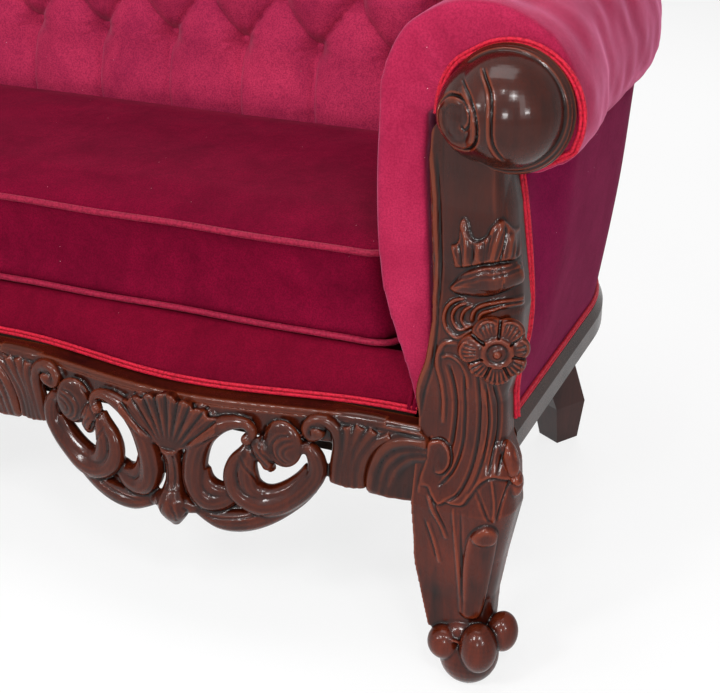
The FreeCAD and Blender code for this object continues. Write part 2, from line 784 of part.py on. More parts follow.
def plan_wire(front_y, half, rear_y, corner, height, front_corner=0.0):
    """A seat outline: straight front and sides, rounded rear corners, front corners rounded if asked."""
    z = height
    bend = 1 - math.sqrt(0.5)
    points = []
    for x_way, y, way, radius in (
        (1, front_y, 1, front_corner),
        (1, rear_y, -1, corner),
        (-1, rear_y, -1, corner),
        (-1, front_y, 1, front_corner),
    ):
        x = x_way * half
        along_side = Vector(x, y + way * radius, z)
        along_end = Vector(x - x_way * radius, y, z)
        middle = Vector(x - x_way * radius * bend, y + way * radius * bend, z)
        sides_first = (x_way > 0) == (way < 0)
        corner_points = [along_side, middle, along_end] if sides_first else [along_end, middle, along_side]
        points.append((radius, corner_points))
    edges = []
    for i, (radius, corner_points) in enumerate(points):
        if radius:
            edges.append(Part.Arc(*corner_points).toShape())
        following = points[(i + 1) % 4][1][0]
        edges.append(Part.LineSegment(corner_points[2], following).toShape())
    return Part.Wire(edges)


def plan_slab(front_y, half, rear_out, low, high):
    radius = size["corner_radius"] + rear_out
    return Part.Face(plan_wire(front_y, half, corner_y + radius, radius, low)).extrude(Vector(0, 0, high - low))


cover_low = size["frame_top"] + size["spring_wire"] + 3 * fit + clip_wall
cover_high = cover_low + size["cover_thick"]
border_rear = front + size["cushion_front"] + 10
cloth_lap = size["frame_thick"] / 2


def frame_cloth(lap, low):
    """A cloth nailed on the frame all round, cut out at the front posts."""
    edge = lap - size["frame_in"]
    cloth = plan_slab(cross_start - lap, size["arm_line"] + edge, edge, low, low + size["cover_thick"])
    notch = Part.makeBox(100, 100, 100, Vector(post_inner - fit, side_start + fit - 100, low - 50))
    down = (size["moulding_low"] - low) / (size["moulding_low"] - size["leg_knee_height"])
    reach = size["leg_top_reach"] + (size["leg_foot_reach"] - size["leg_top_reach"]) * max(down, 0)
    leg = Part.Face(leg_level(reach, size["leg_side"] + 4, low - 1)).extrude(Vector(0, 0, 4))
    notches = [notch, leg] if low < frame_low else [notch]
    return cloth.cut(notches + [one.mirror(ORIGIN, Vector(1, 0, 0)) for one in notches])


feature("spring_cover", frame_cloth(-fit, cover_low))
feature("dust_cover", frame_cloth(cloth_lap, frame_low - fit - size["cover_thick"]))
border_half = size["arm_line"] - size["pad_inner_low"] - 15
deck_rear = -size["back_face_low"] - size["puff"] - size["cushion_gap"]
feature(
    "deck_pad",
    plan_slab(border_rear + fit, size["arm_line"] + deck_rear, deck_rear, cover_high + fit, size["deck_top"]),
)


def front_border():
    """The upholstered front of the deck: its foot follows the bowed rail, its top is straight."""
    wires = []
    count = 24
    for i in range(count + 1):
        x = -border_half + 2 * border_half * i / count
        foot = rail_front(x) + size["rail_setback"] + size["border_front"]
        low = size["rail_top"] + fit
        step = front + size["rail_rear"] + 15
        profile = [
            (foot, low),
            (front + size["cushion_front"] - 3, size["deck_top"]),
            (border_rear, size["deck_top"]),
            (border_rear, cover_high + fit),
            (step, cover_high + fit),
            (step, low),
        ]
        wires.append(ring([Vector(x, y, z) for y, z in profile]))
    return Part.makeLoft(wires, True, False)


feature("front_border", front_border())


# Seat cushion, loose on the deck
cushion_rear_out = deck_rear - 1
cushion_half = size["arm_line"] - size["roll_radius"] - size["cushion_gap"]
welt = size["welt_radius"]


def cushion_level(inset, height):
    rear = size["corner_radius"] + cushion_rear_out - inset
    return plan_wire(
        front + size["cushion_front"] - welt + inset,
        cushion_half - inset,
        corner_y + rear,
        max(rear, size["cushion_corner"]),
        height,
        size["cushion_corner"],
    )


def seat_cushion():
    """Boxed cushion: sides drawn in between the welts, and a crowned top."""
    seam = 2 * welt + fit
    high = size["cushion_high"]
    crown = size["cushion_crown"]
    levels = [
        (seam + 10, size["deck_top"] + 2 * fit),
        (seam, size["cushion_low"]),
        (seam + 4, (size["cushion_low"] + high) / 2),
        (seam, high),
        (seam + 24, high + crown * 0.55),
        (seam + 70, high + crown * 0.9),
        (seam + 120, high + crown),
    ]
    wires = [cushion_level(inset, height) for inset, height in levels]
    lower = Part.makeLoft(wires[:2], True, True)
    box_part = Part.makeLoft(wires[1:4], True, False)
    crown_part = Part.makeLoft(wires[3:], True, True)
    return joined([lower, box_part, crown_part])


feature("seat_cushion", seat_cushion())


def cushion_welt(height):
    path = cushion_level(welt, height)
    start = path.Vertexes[0].Point
    circle = Part.Wire(Part.Circle(start, path.Edges[0].tangentAt(path.Edges[0].FirstParameter), welt).toShape())
    return path.makePipeShell([circle], True, True)


feature(
    "cushion_welts",
    Part.makeCompound([cushion_welt(size["cushion_low"]), cushion_welt(size["cushion_high"])]),
)

# Arm pads: inner pad, roll and front band in one cover
roll_radius = size["roll_radius"]
roll_out = size["roll_out"]
roll_height = size["roll_height"]
pad_low = Vector(-size["pad_inner_low"], size["pad_foot"], 0)
pad_mid = Vector(-size["pad_inner_mid"], size["pad_mid_height"], 0)
pad_high = Vector(-roll_radius * 0.98, roll_height - roll_radius * 0.2, 0)
pad_low_bulge = (pad_low + pad_mid) / 2 - Vector(size["pad_bulge"], 0, 0)
pad_high_bulge = (pad_mid + pad_high) / 2 - Vector(size["pad_bulge"], 0, 0)
arm_outline = [
    (pad_low.x, pad_low.y),
    ((pad_low_bulge.x, pad_low_bulge.y), (pad_mid.x, pad_mid.y)),
    ((pad_high_bulge.x, pad_high_bulge.y), (pad_high.x, pad_high.y)),
    (
        (-roll_radius * 0.7071, roll_height + roll_radius * 0.7071),
        (0, roll_height + roll_radius),
    ),
    (
        (roll_out * 0.7071, roll_height + roll_radius * 0.7071),
        (roll_out, roll_height),
    ),
    ((roll_out * 0.96, roll_height - roll_radius * 0.35), (size["panel_high"] + 4, roll_base)),
    (-size["pad_rear"], roll_base),
]
section = outline_face((-size["pad_rear"], size["pad_foot"]), arm_outline, across_arm)
pad_front = front + 5
both("arm_pad", arm_run(section, pad_front).cut(post_body(fit + 0.2)))

# Outer panels of the arms and the back
panel_section = outline_face(
    (size["panel_low"], size["rail_top"] + fit),
    [
        (size["panel_high"], rail_high),
        (size["panel_high"] + size["panel_thick"], rail_high),
        (size["panel_low"] + size["panel_thick"], size["rail_top"] + fit),
    ],
    across_arm,
)
panel_start = side_start + 2 * size["gimp_radius"] + fit
both("outer_arm", arm_run(panel_section, panel_start, 90))
feature("outer_back", back_run(panel_section, 0))


# Tufted back
def smooth(value):
    value = min(max(value, 0), 1)
    return value * value * (3 - 2 * value)


tuft_reach = size["corner_radius"] - size["back_face_high"]
split_angle = math.radians(90 - size["corner_split"])


def corner_share(along):
    """How far round the back's share of the rear corner, from 0 to 1."""
    return smooth(max(abs(along) - corner_x, 0) / tuft_reach / split_angle)


def base_out(along, height):
    """The back's face inside the roll line, before tufting: raked, and blended into the arms."""
    rise = (height - size["deck_top"]) / (tufted_top - size["deck_top"])
    raked = size["back_face_low"] + (size["back_face_high"] - size["back_face_low"]) * smooth(rise)
    arm_face = size["pad_inner_mid"] + 4 * smooth(rise)
    return raked + (arm_face - raked) * corner_share(along)


def puff_height(along, height):
    """Diamonds between the buttons, and upright channels under the lowest row."""
    pitch = size["button_pitch"]
    lift = max(height - size["button_row"], 0) / (2 * size["row_pitch"])
    rising = abs(math.sin(math.pi * (along / pitch + lift)))
    falling = abs(math.sin(math.pi * (along / pitch - lift)))
    return size["puff"] * math.sqrt(rising * falling) * (1 - corner_share(along))


def button_places():
    """Where the buttons lie, along the back and up it, in rows that shift by half a pitch."""
    end = corner_x + tuft_reach * split_angle
    places = []
    row = 0
    while size["button_row"] + row * size["row_pitch"] < tufted_top:
        count = int(end / size["button_pitch"]) + 1
        for i in range(-count, count + 1):
            along = (i + 0.5 * (row % 2)) * size["button_pitch"]
            if abs(along) < end - 2 * size["button_radius"]:
                places.append((along, size["button_row"] + row * size["row_pitch"]))
        row += 1
    return places


def pit_depth(along, height):
    depth = 0.0
    for place, level in button_places():
        away = math.hypot(along - place, height - level) / size["button_radius"]
        depth = max(depth, size["tuft_depth"] * math.exp(-max(away - 1, 0) ** 2))
    return depth


def tufted_point(along, height, lift=0.0):
    """A point on the tufted face, or lift in front of it."""
    out = -base_out(along, height) - puff_height(along, height) + pit_depth(along, height) - lift
    past = max(abs(along) - corner_x, 0) / tuft_reach
    reach = size["corner_radius"] + out
    way = 1 if along >= 0 else -1
    x = min(abs(along), corner_x) + reach * math.sin(past)
    return Vector(way * x, corner_y + reach * math.cos(past), height)


def tufted_back():
    """The tufted face as one surface, backed by a slab against the rails."""
    end = corner_x + tuft_reach * split_angle + 12
    low = size["pad_foot"] - 8
    high = tufted_top + 8
    columns = 2 * int(8 * end / size["button_pitch"])
    rows = int(8 * (high - low) / size["row_pitch"])
    grid = [
        [
            tufted_point(-end + 2 * end * i / columns, low + (high - low) * j / rows)
            for j in range(rows + 1)
        ]
        for i in range(columns + 1)
    ]
    surface = Part.BSplineSurface()
    surface.interpolate(grid)
    cushioned = surface.toShape().extrude(Vector(0, 150, 0))
    slab_in = -size["back_face_low"] - 60
    slab = back_run(rectangle(slab_in, size["pad_foot"], -size["pad_rear"], tufted_top))
    seats = [seated(Part.makeCylinder(size["button_radius"] + fit, 3 * size["puff"]), *at, 0) for at in button_places()]
    return slab.common(cushioned).cut(seats)


def seated(shape, along, height, lift):
    """Stand a shape on the seat of a button."""
    seat = tufted_point(along, height, lift)
    ahead = tufted_point(along, height, lift + 1) - seat
    shape.Placement = FreeCAD.Placement(seat, FreeCAD.Rotation(Z_AXIS, ahead))
    return shape


feature("tufted_back", tufted_back())


def button(along, height):
    """A covered button: a low dome whose flat side faces the pad."""
    sphere_radius = (size["button_radius"] ** 2 + size["button_height"] ** 2) / (2 * size["button_height"])
    sphere = Part.makeSphere(sphere_radius, Vector(0, 0, size["button_height"] - sphere_radius))
    dome = sphere.common(Part.makeCylinder(size["button_radius"], size["button_height"]))
    return seated(dome, along, height, fit)


feature("back_buttons", Part.makeCompound([button(*place) for place in button_places()]))


def roll_wire(front_out, degrees):
    """The back roll's section, with its front face front_out inside the roll line."""
    radius = size["roll_radius"]
    base = roll_base
    middle = size["roll_height"]
    lip = tufted_top + fit
    moves = [
        (-size["pad_rear"] + fit, lip),
        (-front_out, lip),
        ((-front_out * 0.74, middle + radius * 0.66), (0, middle + radius)),
        ((roll_out * 0.7071, middle + radius * 0.7071), (roll_out, middle)),
        ((roll_out * 0.96, middle - radius * 0.35), (size["panel_high"] + 4, base)),
    ]
    face = outline_face((-size["pad_rear"] + fit, base), moves, across_arm)
    return turned(face, degrees).OuterWire


def back_roll():
    """The roll across the back, and round half of each corner, where it widens to the arm's roll."""
    steps = 4
    split = size["corner_split"]
    narrow = size["back_face_high"] + size["puff"] - 2
    wide = size["roll_radius"] - 1
    wires = []
    for i in range(steps + 1):
        share = i / steps
        wires.append(roll_wire(wide + (narrow - wide) * smooth(share), split + (90 - split) * share))
    corner = Part.makeLoft(wires, True, False)
    straight = Part.Face(wires[-1]).extrude(Vector(-2 * corner_x, 0, 0))
    return joined([straight, corner, corner.mirror(ORIGIN, Vector(1, 0, 0))])


feature("back_roll", back_roll())


# Gimp and welts on the frame
def front_gimp():
    """Flat braid along the foot of the front border."""
    ahead = -size["rail_setback"] - size["border_front"] + 2 * size["gimp_radius"] + fit
    width = 2 * size["gimp_radius"]
    low = size["rail_top"] + fit
    return bowed_slab(-border_half, border_half, ahead, width, low, low + width)


feature("gimp_front", front_gimp())
gimp_out = size["panel_low"] + size["panel_thick"] + size["gimp_radius"] + 3 * fit
gimp_section = round_section(gimp_out, size["rail_top"] + size["gimp_radius"] + fit, size["gimp_radius"])
both("gimp_side", arm_run(gimp_section, panel_start, 90))
feature("gimp_back", back_run(gimp_section, 0))


both("gimp_post", post_gimp())


def scroll_gimp():
    """Double welt round the scroll, from over the volute to the outer edge of the post."""
    radius = (pad_front - scroll_face) / 2 - fit
    reach = size["ring_radius"] + size["ring_bead"] + radius + fit
    centre = Vector(scroll_x, front + (pad_front - front) / 2, size["roll_height"])
    circle = Part.Circle(centre + Vector(reach, 0, 0), Z_AXIS, radius)
    section = Part.Face(Part.Wire(circle.toShape())).rotated(centre, Vector(0, 1, 0), 62)
    return section.revolve(centre, Vector(0, 1, 0), -202)


both("gimp_scroll", scroll_gimp())

doc.recompute()
for obj in doc.Objects:
    if "Invalid" in obj.State or "Error" in obj.State:
        raise RuntimeError("%s failed: %s" % (obj.Label, obj.State))
for obj in parts:
    if obj.Shape.isNull() or not obj.Shape.isValid():
        raise RuntimeError("%s has no valid shape" % obj.Label)
os.makedirs("parts", exist_ok=True)
for obj in parts:
    obj.Shape.exportStep("parts/%s.step" % obj.Label)
print("%d pieces written" % len(parts))
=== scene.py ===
import json
import math

import bpy
import numpy as np
from mathutils import Matrix, Vector


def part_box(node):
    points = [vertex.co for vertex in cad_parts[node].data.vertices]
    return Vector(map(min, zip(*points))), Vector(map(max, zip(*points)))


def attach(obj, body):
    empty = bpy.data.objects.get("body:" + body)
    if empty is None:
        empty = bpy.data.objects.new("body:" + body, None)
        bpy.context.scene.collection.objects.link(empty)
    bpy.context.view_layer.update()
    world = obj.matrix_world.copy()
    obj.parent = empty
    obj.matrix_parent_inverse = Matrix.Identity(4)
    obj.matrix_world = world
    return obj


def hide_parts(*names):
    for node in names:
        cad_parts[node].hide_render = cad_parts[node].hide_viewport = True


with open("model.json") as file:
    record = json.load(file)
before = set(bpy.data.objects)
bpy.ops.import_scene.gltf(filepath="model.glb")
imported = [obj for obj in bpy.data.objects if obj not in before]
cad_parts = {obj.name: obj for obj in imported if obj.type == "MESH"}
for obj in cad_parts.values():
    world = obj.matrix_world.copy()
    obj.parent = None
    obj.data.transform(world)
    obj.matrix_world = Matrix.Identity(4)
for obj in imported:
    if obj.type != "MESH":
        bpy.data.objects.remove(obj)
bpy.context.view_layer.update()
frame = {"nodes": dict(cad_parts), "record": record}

# Carved settee in velvet. Everything is in metres, and carving is drawn in millimetres on the face
# that it lies on. The right-hand pieces are made, and the left-hand ones are mirrored from them.
frontLine = -0.305      # front of the arms
rollLine = 0.610        # middle of each arm's roll
cornerX = 0.375         # where the back starts to turn into the arm
cornerY = 0.042
backLine = 0.277
cornerRadius = rollLine - cornerX
motifMiddle = 0.290     # middle of each carved motif
postMiddle = 0.626      # middle of each front foot
panelStart = -0.2572    # front edge of the outer panels
mergeGap = 0.00002      # vertices closer than this are one, in a copy of a CAD piece
mirrorGap = 0.000001    # and in a mirrored piece
print("frame loaded:", len(frame["nodes"]), "nodes")


# Small tools
def deselect():
    bpy.ops.object.select_all(action="DESELECT")


def pick(*objects):
    deselect()
    for obj in objects:
        obj.select_set(True)
    bpy.context.view_layer.objects.active = objects[0]
    return objects[0]


def linked(name, data):
    obj = bpy.data.objects.new(name, data)
    bpy.context.collection.objects.link(obj)
    return obj


def modify(obj, kind, **settings):
    modifier = obj.modifiers.new(kind.title(), kind)
    for setting, value in settings.items():
        setattr(modifier, setting, value)
    return modifier


def applyModifiers(obj):
    pick(obj)
    for name in [modifier.name for modifier in obj.modifiers]:
        bpy.ops.object.modifier_apply(modifier=name)
    return obj


def settle(obj):        # puts the object's place, turn and size into its mesh
    pick(obj)
    bpy.ops.object.transform_apply(location=True, rotation=True, scale=True)
    return obj


def editAll(obj):
    pick(obj)
    bpy.ops.object.mode_set(mode="EDIT")
    bpy.ops.mesh.select_all(action="SELECT")


def editDone(obj):
    bpy.ops.mesh.select_all(action="DESELECT")
    bpy.ops.object.mode_set(mode="OBJECT")
    return obj


def cleanMesh(obj, gap=mergeGap):
    editAll(obj)
    bpy.ops.mesh.remove_doubles(threshold=gap)
    bpy.ops.mesh.normals_make_consistent(inside=False)
    return editDone(obj)


def copyNode(node, name):
    piece = linked(name, frame["nodes"][node].data.copy())
    piece.data.materials.clear()
    return cleanMesh(piece)


def joinPieces(name, pieces):
    pick(*pieces)
    if len(pieces) > 1:
        bpy.ops.object.join()
    pieces[0].name = name
    return pieces[0]


def voxels(obj, size, rounds):      # one even skin over everything that was joined
    modify(obj, "REMESH", mode="VOXEL", voxel_size=size)
    modify(obj, "SMOOTH", factor=0.5, iterations=rounds)
    return applyModifiers(obj)


def readVectors(items, key):
    flat = np.empty(len(items) * 3, np.float32)
    items.foreach_get(key, flat)
    return flat.reshape(-1, 3).astype(float)


def readPoints(obj):
    return readVectors(obj.data.vertices, "co")


def readNormals(obj):
    return readVectors(obj.data.vertex_normals, "vector")


def writePoints(obj, points):
    obj.data.vertices.foreach_set("co", points.astype(np.float32).ravel())
    obj.data.update()
    return obj


def mirrored(obj, name):
    twin = linked(name, obj.data.copy())
    twin.scale = (-1, 1, 1)
    settle(twin)
    return cleanMesh(twin, mirrorGap)


def ball(place, size, segments=32):
    deselect()
    bpy.ops.mesh.primitive_uv_sphere_add(
        segments=segments, ring_count=segments // 2, radius=1, location=place)
    obj = bpy.context.active_object
    obj.scale = (size, size, size) if isinstance(size, float) else size
    return settle(obj)


def ringRound(place, radius, bead):     # a ring that faces the front
    deselect()
    bpy.ops.mesh.primitive_torus_add(
        location=place, rotation=(math.pi / 2, 0, 0), major_radius=radius, minor_radius=bead,
        major_segments=96, minor_segments=14)
    return settle(bpy.context.active_object)


def flatGrid(columns, rows):
    deselect()
    bpy.ops.mesh.primitive_grid_add(x_subdivisions=columns, y_subdivisions=rows, size=2)
    return bpy.context.active_object


def smoothPath(points, step=2.0):       # a smooth line through the points, with the same columns
    points = np.array(points, float)
    ends = np.vstack([2 * points[0] - points[1], points, 2 * points[-1] - points[-2]])
    line = []
    for i in range(1, len(ends) - 2):
        a, b, c, d = ends[i - 1:i + 3]
        count = max(2, int(np.linalg.norm((c - b)[:2]) / step))
        t = np.linspace(0, 1, count, endpoint=False)[:, None]
        line.append(0.5 * (2 * b + (c - a) * t + (2 * a - 5 * b + 4 * c - d) * t ** 2
                           + (3 * b - a - 3 * c + d) * t ** 3))
    line.append(points[-1:])
    return np.vstack(line)


def strand(points, sides=3, closed=False):      # a round strand through (x, y, z, radius)
    curve = bpy.data.curves.new("strand", "CURVE")
    curve.dimensions = "3D"
    curve.bevel_depth = 1.0
    curve.bevel_resolution = sides
    curve.use_fill_caps = True
    spline = curve.splines.new("POLY")
    spline.points.add(len(points) - 1)
    spline.use_cyclic_u = closed
    for point, (x, y, z, radius) in zip(spline.points, points):
        point.co = (x, y, z, 1)
        point.radius = radius
    pick(linked("strand", curve))
    bpy.ops.object.convert(target="MESH")
    return bpy.context.active_object


def cutFlat(obj, place, outward):       # cuts with a plane and closes it; what lies outward goes
    editAll(obj)
    bpy.ops.mesh.bisect(plane_co=place, plane_no=outward, use_fill=True, clear_outer=True)
    return editDone(obj)


def softNoise(points, size, seed=0.0):  # smooth bumps between about -1 and 1, the same at each run
    x, y, z = (points / size + seed).T
    value = np.sin(x * 1.7 + 1.3 * np.sin(y * 1.1 + seed))
    value = value + np.sin(y * 1.9 + 1.1 * np.sin(z * 1.3 + 2.1))
    value = value + np.sin(z * 1.6 + 1.2 * np.sin(x * 1.2 + 0.7))
    return value / 3


def smoothStep(value):
    value = np.clip(value, 0, 1)
    return value * value * (3 - 2 * value)


def ramp(value, start, length):        # 0 up to start, 1 from a length past it
    return np.clip((value - start) / length, 0, 1)


# Carving
chisel = {
    "taper": 0.12,              # share of a line over which it dies away at either end
    "crisp": 1.2,               # width of the sharp side of a step
    "undercut": (0.35, 1.8),    # the cut at its foot: share of the step's height, and width
    "front": (0.02, 0.3),       # how far a face has to look forward to be carved
    "softened": 0.35,
}


def tapered(along, taper):
    return np.sqrt(np.clip(along / taper, 0, 1) * np.clip((1 - along) / taper, 0, 1))


class Carving:
    # chisel work on the front of a piece; lines are (across, up) in millimetres, and heights too
    def __init__(self, obj, flatten):
        self.obj = obj
        self.points = readPoints(obj)
        self.normals = readNormals(obj)
        self.flat = flatten(self.points) * 1000
        self.height = np.zeros(len(self.points))
        self.front = ramp(-self.normals[:, 1], *chisel["front"])

    # the vertices near a line: which, how far, how far along, and on which side
    def measure(self, line, reach):
        low, high = line.min(0) - reach, line.max(0) + reach
        index = np.nonzero(((self.flat > low) & (self.flat < high)).all(1) & (self.front > 0))[0]
        here = self.flat[index]
        best = np.full(len(index), 1e9)
        along = np.zeros(len(index))
        side = np.ones(len(index))
        lengths = np.linalg.norm(np.diff(line, axis=0), axis=1)
        total = lengths.sum()
        passed = 0.0
        for a, b, length in zip(line[:-1], line[1:], lengths):
            way = b - a
            t = np.clip(((here - a) @ way) / max(length * length, 1e-9), 0, 1)
            off = here - (a + t[:, None] * way)
            gap = np.hypot(off[:, 0], off[:, 1])
            closer = gap < best
            best[closer] = gap[closer]
            along[closer] = (passed + t[closer] * length) / total
            side[closer] = np.sign(way[0] * off[closer, 1] - way[1] * off[closer, 0])
            passed += length
        return index, best, along, side

    # a rounded ridge, or a groove where the height is negative
    def bead(self, points, width, height, taper=chisel["taper"]):
        index, gap, along, side = self.measure(smoothPath(points), width)
        rounded = np.clip(1 - (gap / width) ** 2, 0, 1)
        if height < 0:
            rounded = rounded ** 1.5
        self.height[index] += height * rounded * tapered(along, taper)

    # a crisp edge: the ground left of the line stands up and falls off again
    def step(self, points, height, fade):
        index, gap, along, side = self.measure(smoothPath(points), fade * 3)
        foot, width = chisel["undercut"]
        up = height * np.clip(gap / chisel["crisp"], 0, 1) * np.exp(-(gap / fade) ** 2)
        down = -foot * height * np.exp(-(gap / width) ** 2)
        inner = (along > 0) & (along < 1)
        self.height[index] += np.where(side > 0, up, down) * tapered(along, chisel["taper"]) * inner

    # a raised field with a rounded rim; crown lifts its middle further
    def mound(self, points, height, edge, crown=0.0):
        line = smoothPath(list(points) + [points[0]])
        index, gap = self.measure(line, 1.0)[:2]
        across, up = self.flat[index].T
        inside = np.zeros(len(index), bool)
        for (x1, z1), (x2, z2) in zip(line[:-1], line[1:]):
            crosses = (z1 > up) != (z2 > up)
            inside ^= crosses & (across < (x2 - x1) * (up - z1) / (z2 - z1 + 1e-12) + x1)
        rim = np.sqrt(np.clip(1 - (1 - np.clip(gap / edge, 0, 1)) ** 2, 0, 1))
        raised = height * rim + crown * np.clip(gap / (edge * 3), 0, 1)
        self.height[index] += np.where(inside, raised, 0)

    def finish(self):
        moved = self.points + self.normals * (self.height * self.front / 1000)[:, None]
        writePoints(self.obj, moved)
        modify(self.obj, "SMOOTH", factor=chisel["softened"], iterations=1)
        return applyModifiers(self.obj)


def fromFront(middle):      # flattens points to (across, up), measured from a middle
    return lambda points: np.column_stack([points[:, 0] - middle, points[:, 2]])


hollows = {"rounds": 3, "kept": 0.4, "strength": 2.2}


# writes how hollow each place is, from 0 on a ridge to 1 in a groove, for the painted shade in the grooves
# and the wear on the ridges
def markHollows(obj):
    mesh = obj.data
    points, normals = readPoints(obj), readNormals(obj)
    ends = np.empty(len(mesh.edges) * 2, np.int32)
    mesh.edges.foreach_get("vertices", ends)
    a, b = ends.reshape(-1, 2).T
    total = np.zeros(len(points))
    count = np.zeros(len(points))
    for start, end in ((a, b), (b, a)):
        way = points[end] - points[start]
        bend = (way * normals[start]).sum(1) / np.maximum(np.linalg.norm(way, axis=1), 1e-9)
        np.add.at(total, start, bend)
        np.add.at(count, start, 1)
    hollow = total / np.maximum(count, 1)
    for _ in range(hollows["rounds"]):
        gathered = np.zeros(len(points))
        for start, end in ((a, b), (b, a)):
            np.add.at(gathered, start, hollow[end])
        hollow = hollows["kept"] * hollow + (1 - hollows["kept"]) * gathered / np.maximum(count, 1)
    layer = mesh.attributes.new("hollow", "FLOAT", "POINT")
    marks = np.clip(0.5 + hollow * hollows["strength"], 0, 1)
    layer.data.foreach_set("value", marks.astype(np.float32))
    return obj


# Camera, at the photograph's viewing angle
view = {
    "place": (1.0506, -1.6040, 1.0398), "heading": 23.13, "pitch": 24.99,
    "lens": 75.66, "sensor": 36, "near": 0.05,
}
deselect()
bpy.ops.object.camera_add(location=view["place"])
camera = bpy.context.active_object
camera.rotation_euler = (math.radians(90 - view["pitch"]), 0, math.radians(view["heading"]))
camera.data.lens = view["lens"]
camera.data.sensor_width = view["sensor"]
camera.data.clip_start = view["near"]
bpy.context.scene.camera = camera
print("camera placed")


# Materials
class Value:
    # a socket in shader arithmetic: expressions on it add Math nodes
    def __init__(self, tree, socket):
        self.tree, self.socket = tree, socket

    def math(self, operation, *others, clamp=False):
        node = self.tree.nodes.new("ShaderNodeMath")
        node.operation = operation
        node.use_clamp = clamp
        for place, value in enumerate(others):
            if isinstance(value, Value):
                self.tree.links.new(value.socket, node.inputs[place])
            else:
                node.inputs[place].default_value = value
        return Value(self.tree, node.outputs[0])

    def __add__(self, other):
        return self.math("ADD", self, other)

    def __radd__(self, other):
        return self.math("ADD", other, self)

    def __sub__(self, other):
        return self.math("SUBTRACT", self, other)

    def __rsub__(self, other):
        return self.math("SUBTRACT", other, self)

    def __mul__(self, other):
        return self.math("MULTIPLY", self, other)

    def __rmul__(self, other):
        return self.math("MULTIPLY", other, self)

    def __truediv__(self, other):
        return self.math("DIVIDE", self, other)

    def within(self):       # held between 0 and 1
        return self.math("ADD", self, 0.0, clamp=True)


class Finish:
    # one material: its nodes come from add, its numbers from Value
    def __init__(self, name, **constants):
        self.material = bpy.data.materials.new(name)
        self.material.use_nodes = True
        self.tree = self.material.node_tree
        self.shader = self.tree.nodes["Principled BSDF"]
        for socket, value in constants.items():
            self.shader.inputs[socket.replace("_", " ")].default_value = value
        self.place = self.add("ShaderNodeTexCoord")[0].outputs["Object"]

    def add(self, kind, settings=None, out=0, **sockets):
        node = self.tree.nodes.new(kind)
        for setting, value in (settings or {}).items():
            setattr(node, setting, value)
        for key, value in sockets.items():
            # i0 is the socket at place 0, and any other key a socket's name
            socket = node.inputs[int(key[1:]) if key[1:].isdigit() else key.replace("_", " ")]
            if isinstance(value, Value):
                value = value.socket
            if isinstance(value, bpy.types.NodeSocket):
                self.tree.links.new(value, socket)
            else:
                socket.default_value = value
        return node, Value(self.tree, node.outputs[out])

    def noise(self, scale, detail=3.0, rough=0.5, stretch=None, warp=0.0):
        place = self.place
        if stretch:
            place = self.add("ShaderNodeMapping", Vector=place, Scale=stretch)[0].outputs[0]
        return self.add("ShaderNodeTexNoise", Vector=place, Scale=scale, Detail=detail,
                        Roughness=rough, Distortion=warp)[1]

    def axis(self, vector, letter):
        parted = self.add("ShaderNodeSeparateXYZ", Vector=vector)[0]
        return Value(self.tree, parted.outputs[letter])

    def blend(self, factor, *colours):
        first, second = [(*colour, 1) if isinstance(colour, tuple) else colour for colour in colours]
        return self.add("ShaderNodeMix", {"data_type": "RGBA"}, out=2, i0=factor, i6=first, i7=second)[1]

    def spread(self, value, low, high):     # stretches low to high over 0 to 1
        return ((value - low) / (high - low)).within()

    def feed(self, socket, value):
        self.tree.links.new(value.socket, self.shader.inputs[socket])
        return self

    def bump(self, height, strength, distance):
        bump = self.add("ShaderNodeBump", Height=height, Strength=strength, Distance=distance)[1]
        self.feed("Normal", bump)


def times(colour, factor):
    return tuple(v * factor for v in colour)


upright = (14, 14, 1.6)     # how the grain is stretched on a standing piece
lengthwise = (2.0, 14, 14)
sawn = (1.6, 12, 12)


# polished hardwood: long figure, fine pores, painted shade in the hollows and the stain rubbed off the ridges
def woodFinish(name, deep, body, worn, grain=upright, gloss=0.2, carved=True, coat=0.46):
    wood = Finish(name, Coat_Roughness=0.15, Specular_IOR_Level=0.06)
    # painted shade on the flanks and behind: the coat thins as the face turns away from the front, so that
    # they reflect less
    facing = wood.axis(wood.add("ShaderNodeNewGeometry")[0].outputs["Normal"], "Y")
    wood.feed("Coat Weight", (facing * -1.1 + 0.12).within() * coat + 0.03)
    figure = wood.noise(1.0, 5.0, 0.6, grain, 0.8)
    streak = wood.noise(1.0, 3.0, 0.6, times(grain, 9))
    cloud = wood.noise(11.0, 2.0)
    tone = wood.spread(figure * 0.5 + streak * 0.25 + cloud * 0.5, 0.46, 0.78)
    colour = wood.blend(tone, deep, body)
    # darker higher up
    rise = wood.spread(wood.axis(wood.place, "Z"), 0.16, 0.5)
    colour = wood.blend(rise * 0.6, colour, times(deep, 1.6))
    pores = wood.spread(wood.noise(1.0, 2.0, 0.5, times(grain, 42)), 0.55, 0.72)
    colour = wood.blend(pores * 0.35, colour, deep)
    rough = tone * -0.08 + (gloss + 0.1) + pores * 0.08
    if carved:
        hollow = wood.add("ShaderNodeAttribute", {"attribute_name": "hollow"}, out=2)[1]
        ridge = wood.spread(hollow, 0.47, 0.33)
        groove = wood.spread(hollow, 0.52, 0.7)
        colour = wood.blend(ridge * 0.4, colour, worn)
        # painted shade: the grooves are darkened nearly to black, where shade falls in them
        colour = wood.blend(groove * 0.9, colour, times(deep, 0.2))
        rough = rough + groove * 0.22
    smudge = wood.spread(wood.noise(26.0, 4.0, 0.6), 0.4, 0.75)
    rough = rough + smudge * 0.07
    wood.feed("Base Color", colour).feed("Roughness", rough.within())
    wood.bump(pores * -0.4 + streak * 0.3 + wood.noise(160.0, 2.0) * 0.25, 0.12, 0.0006)
    return wood.material


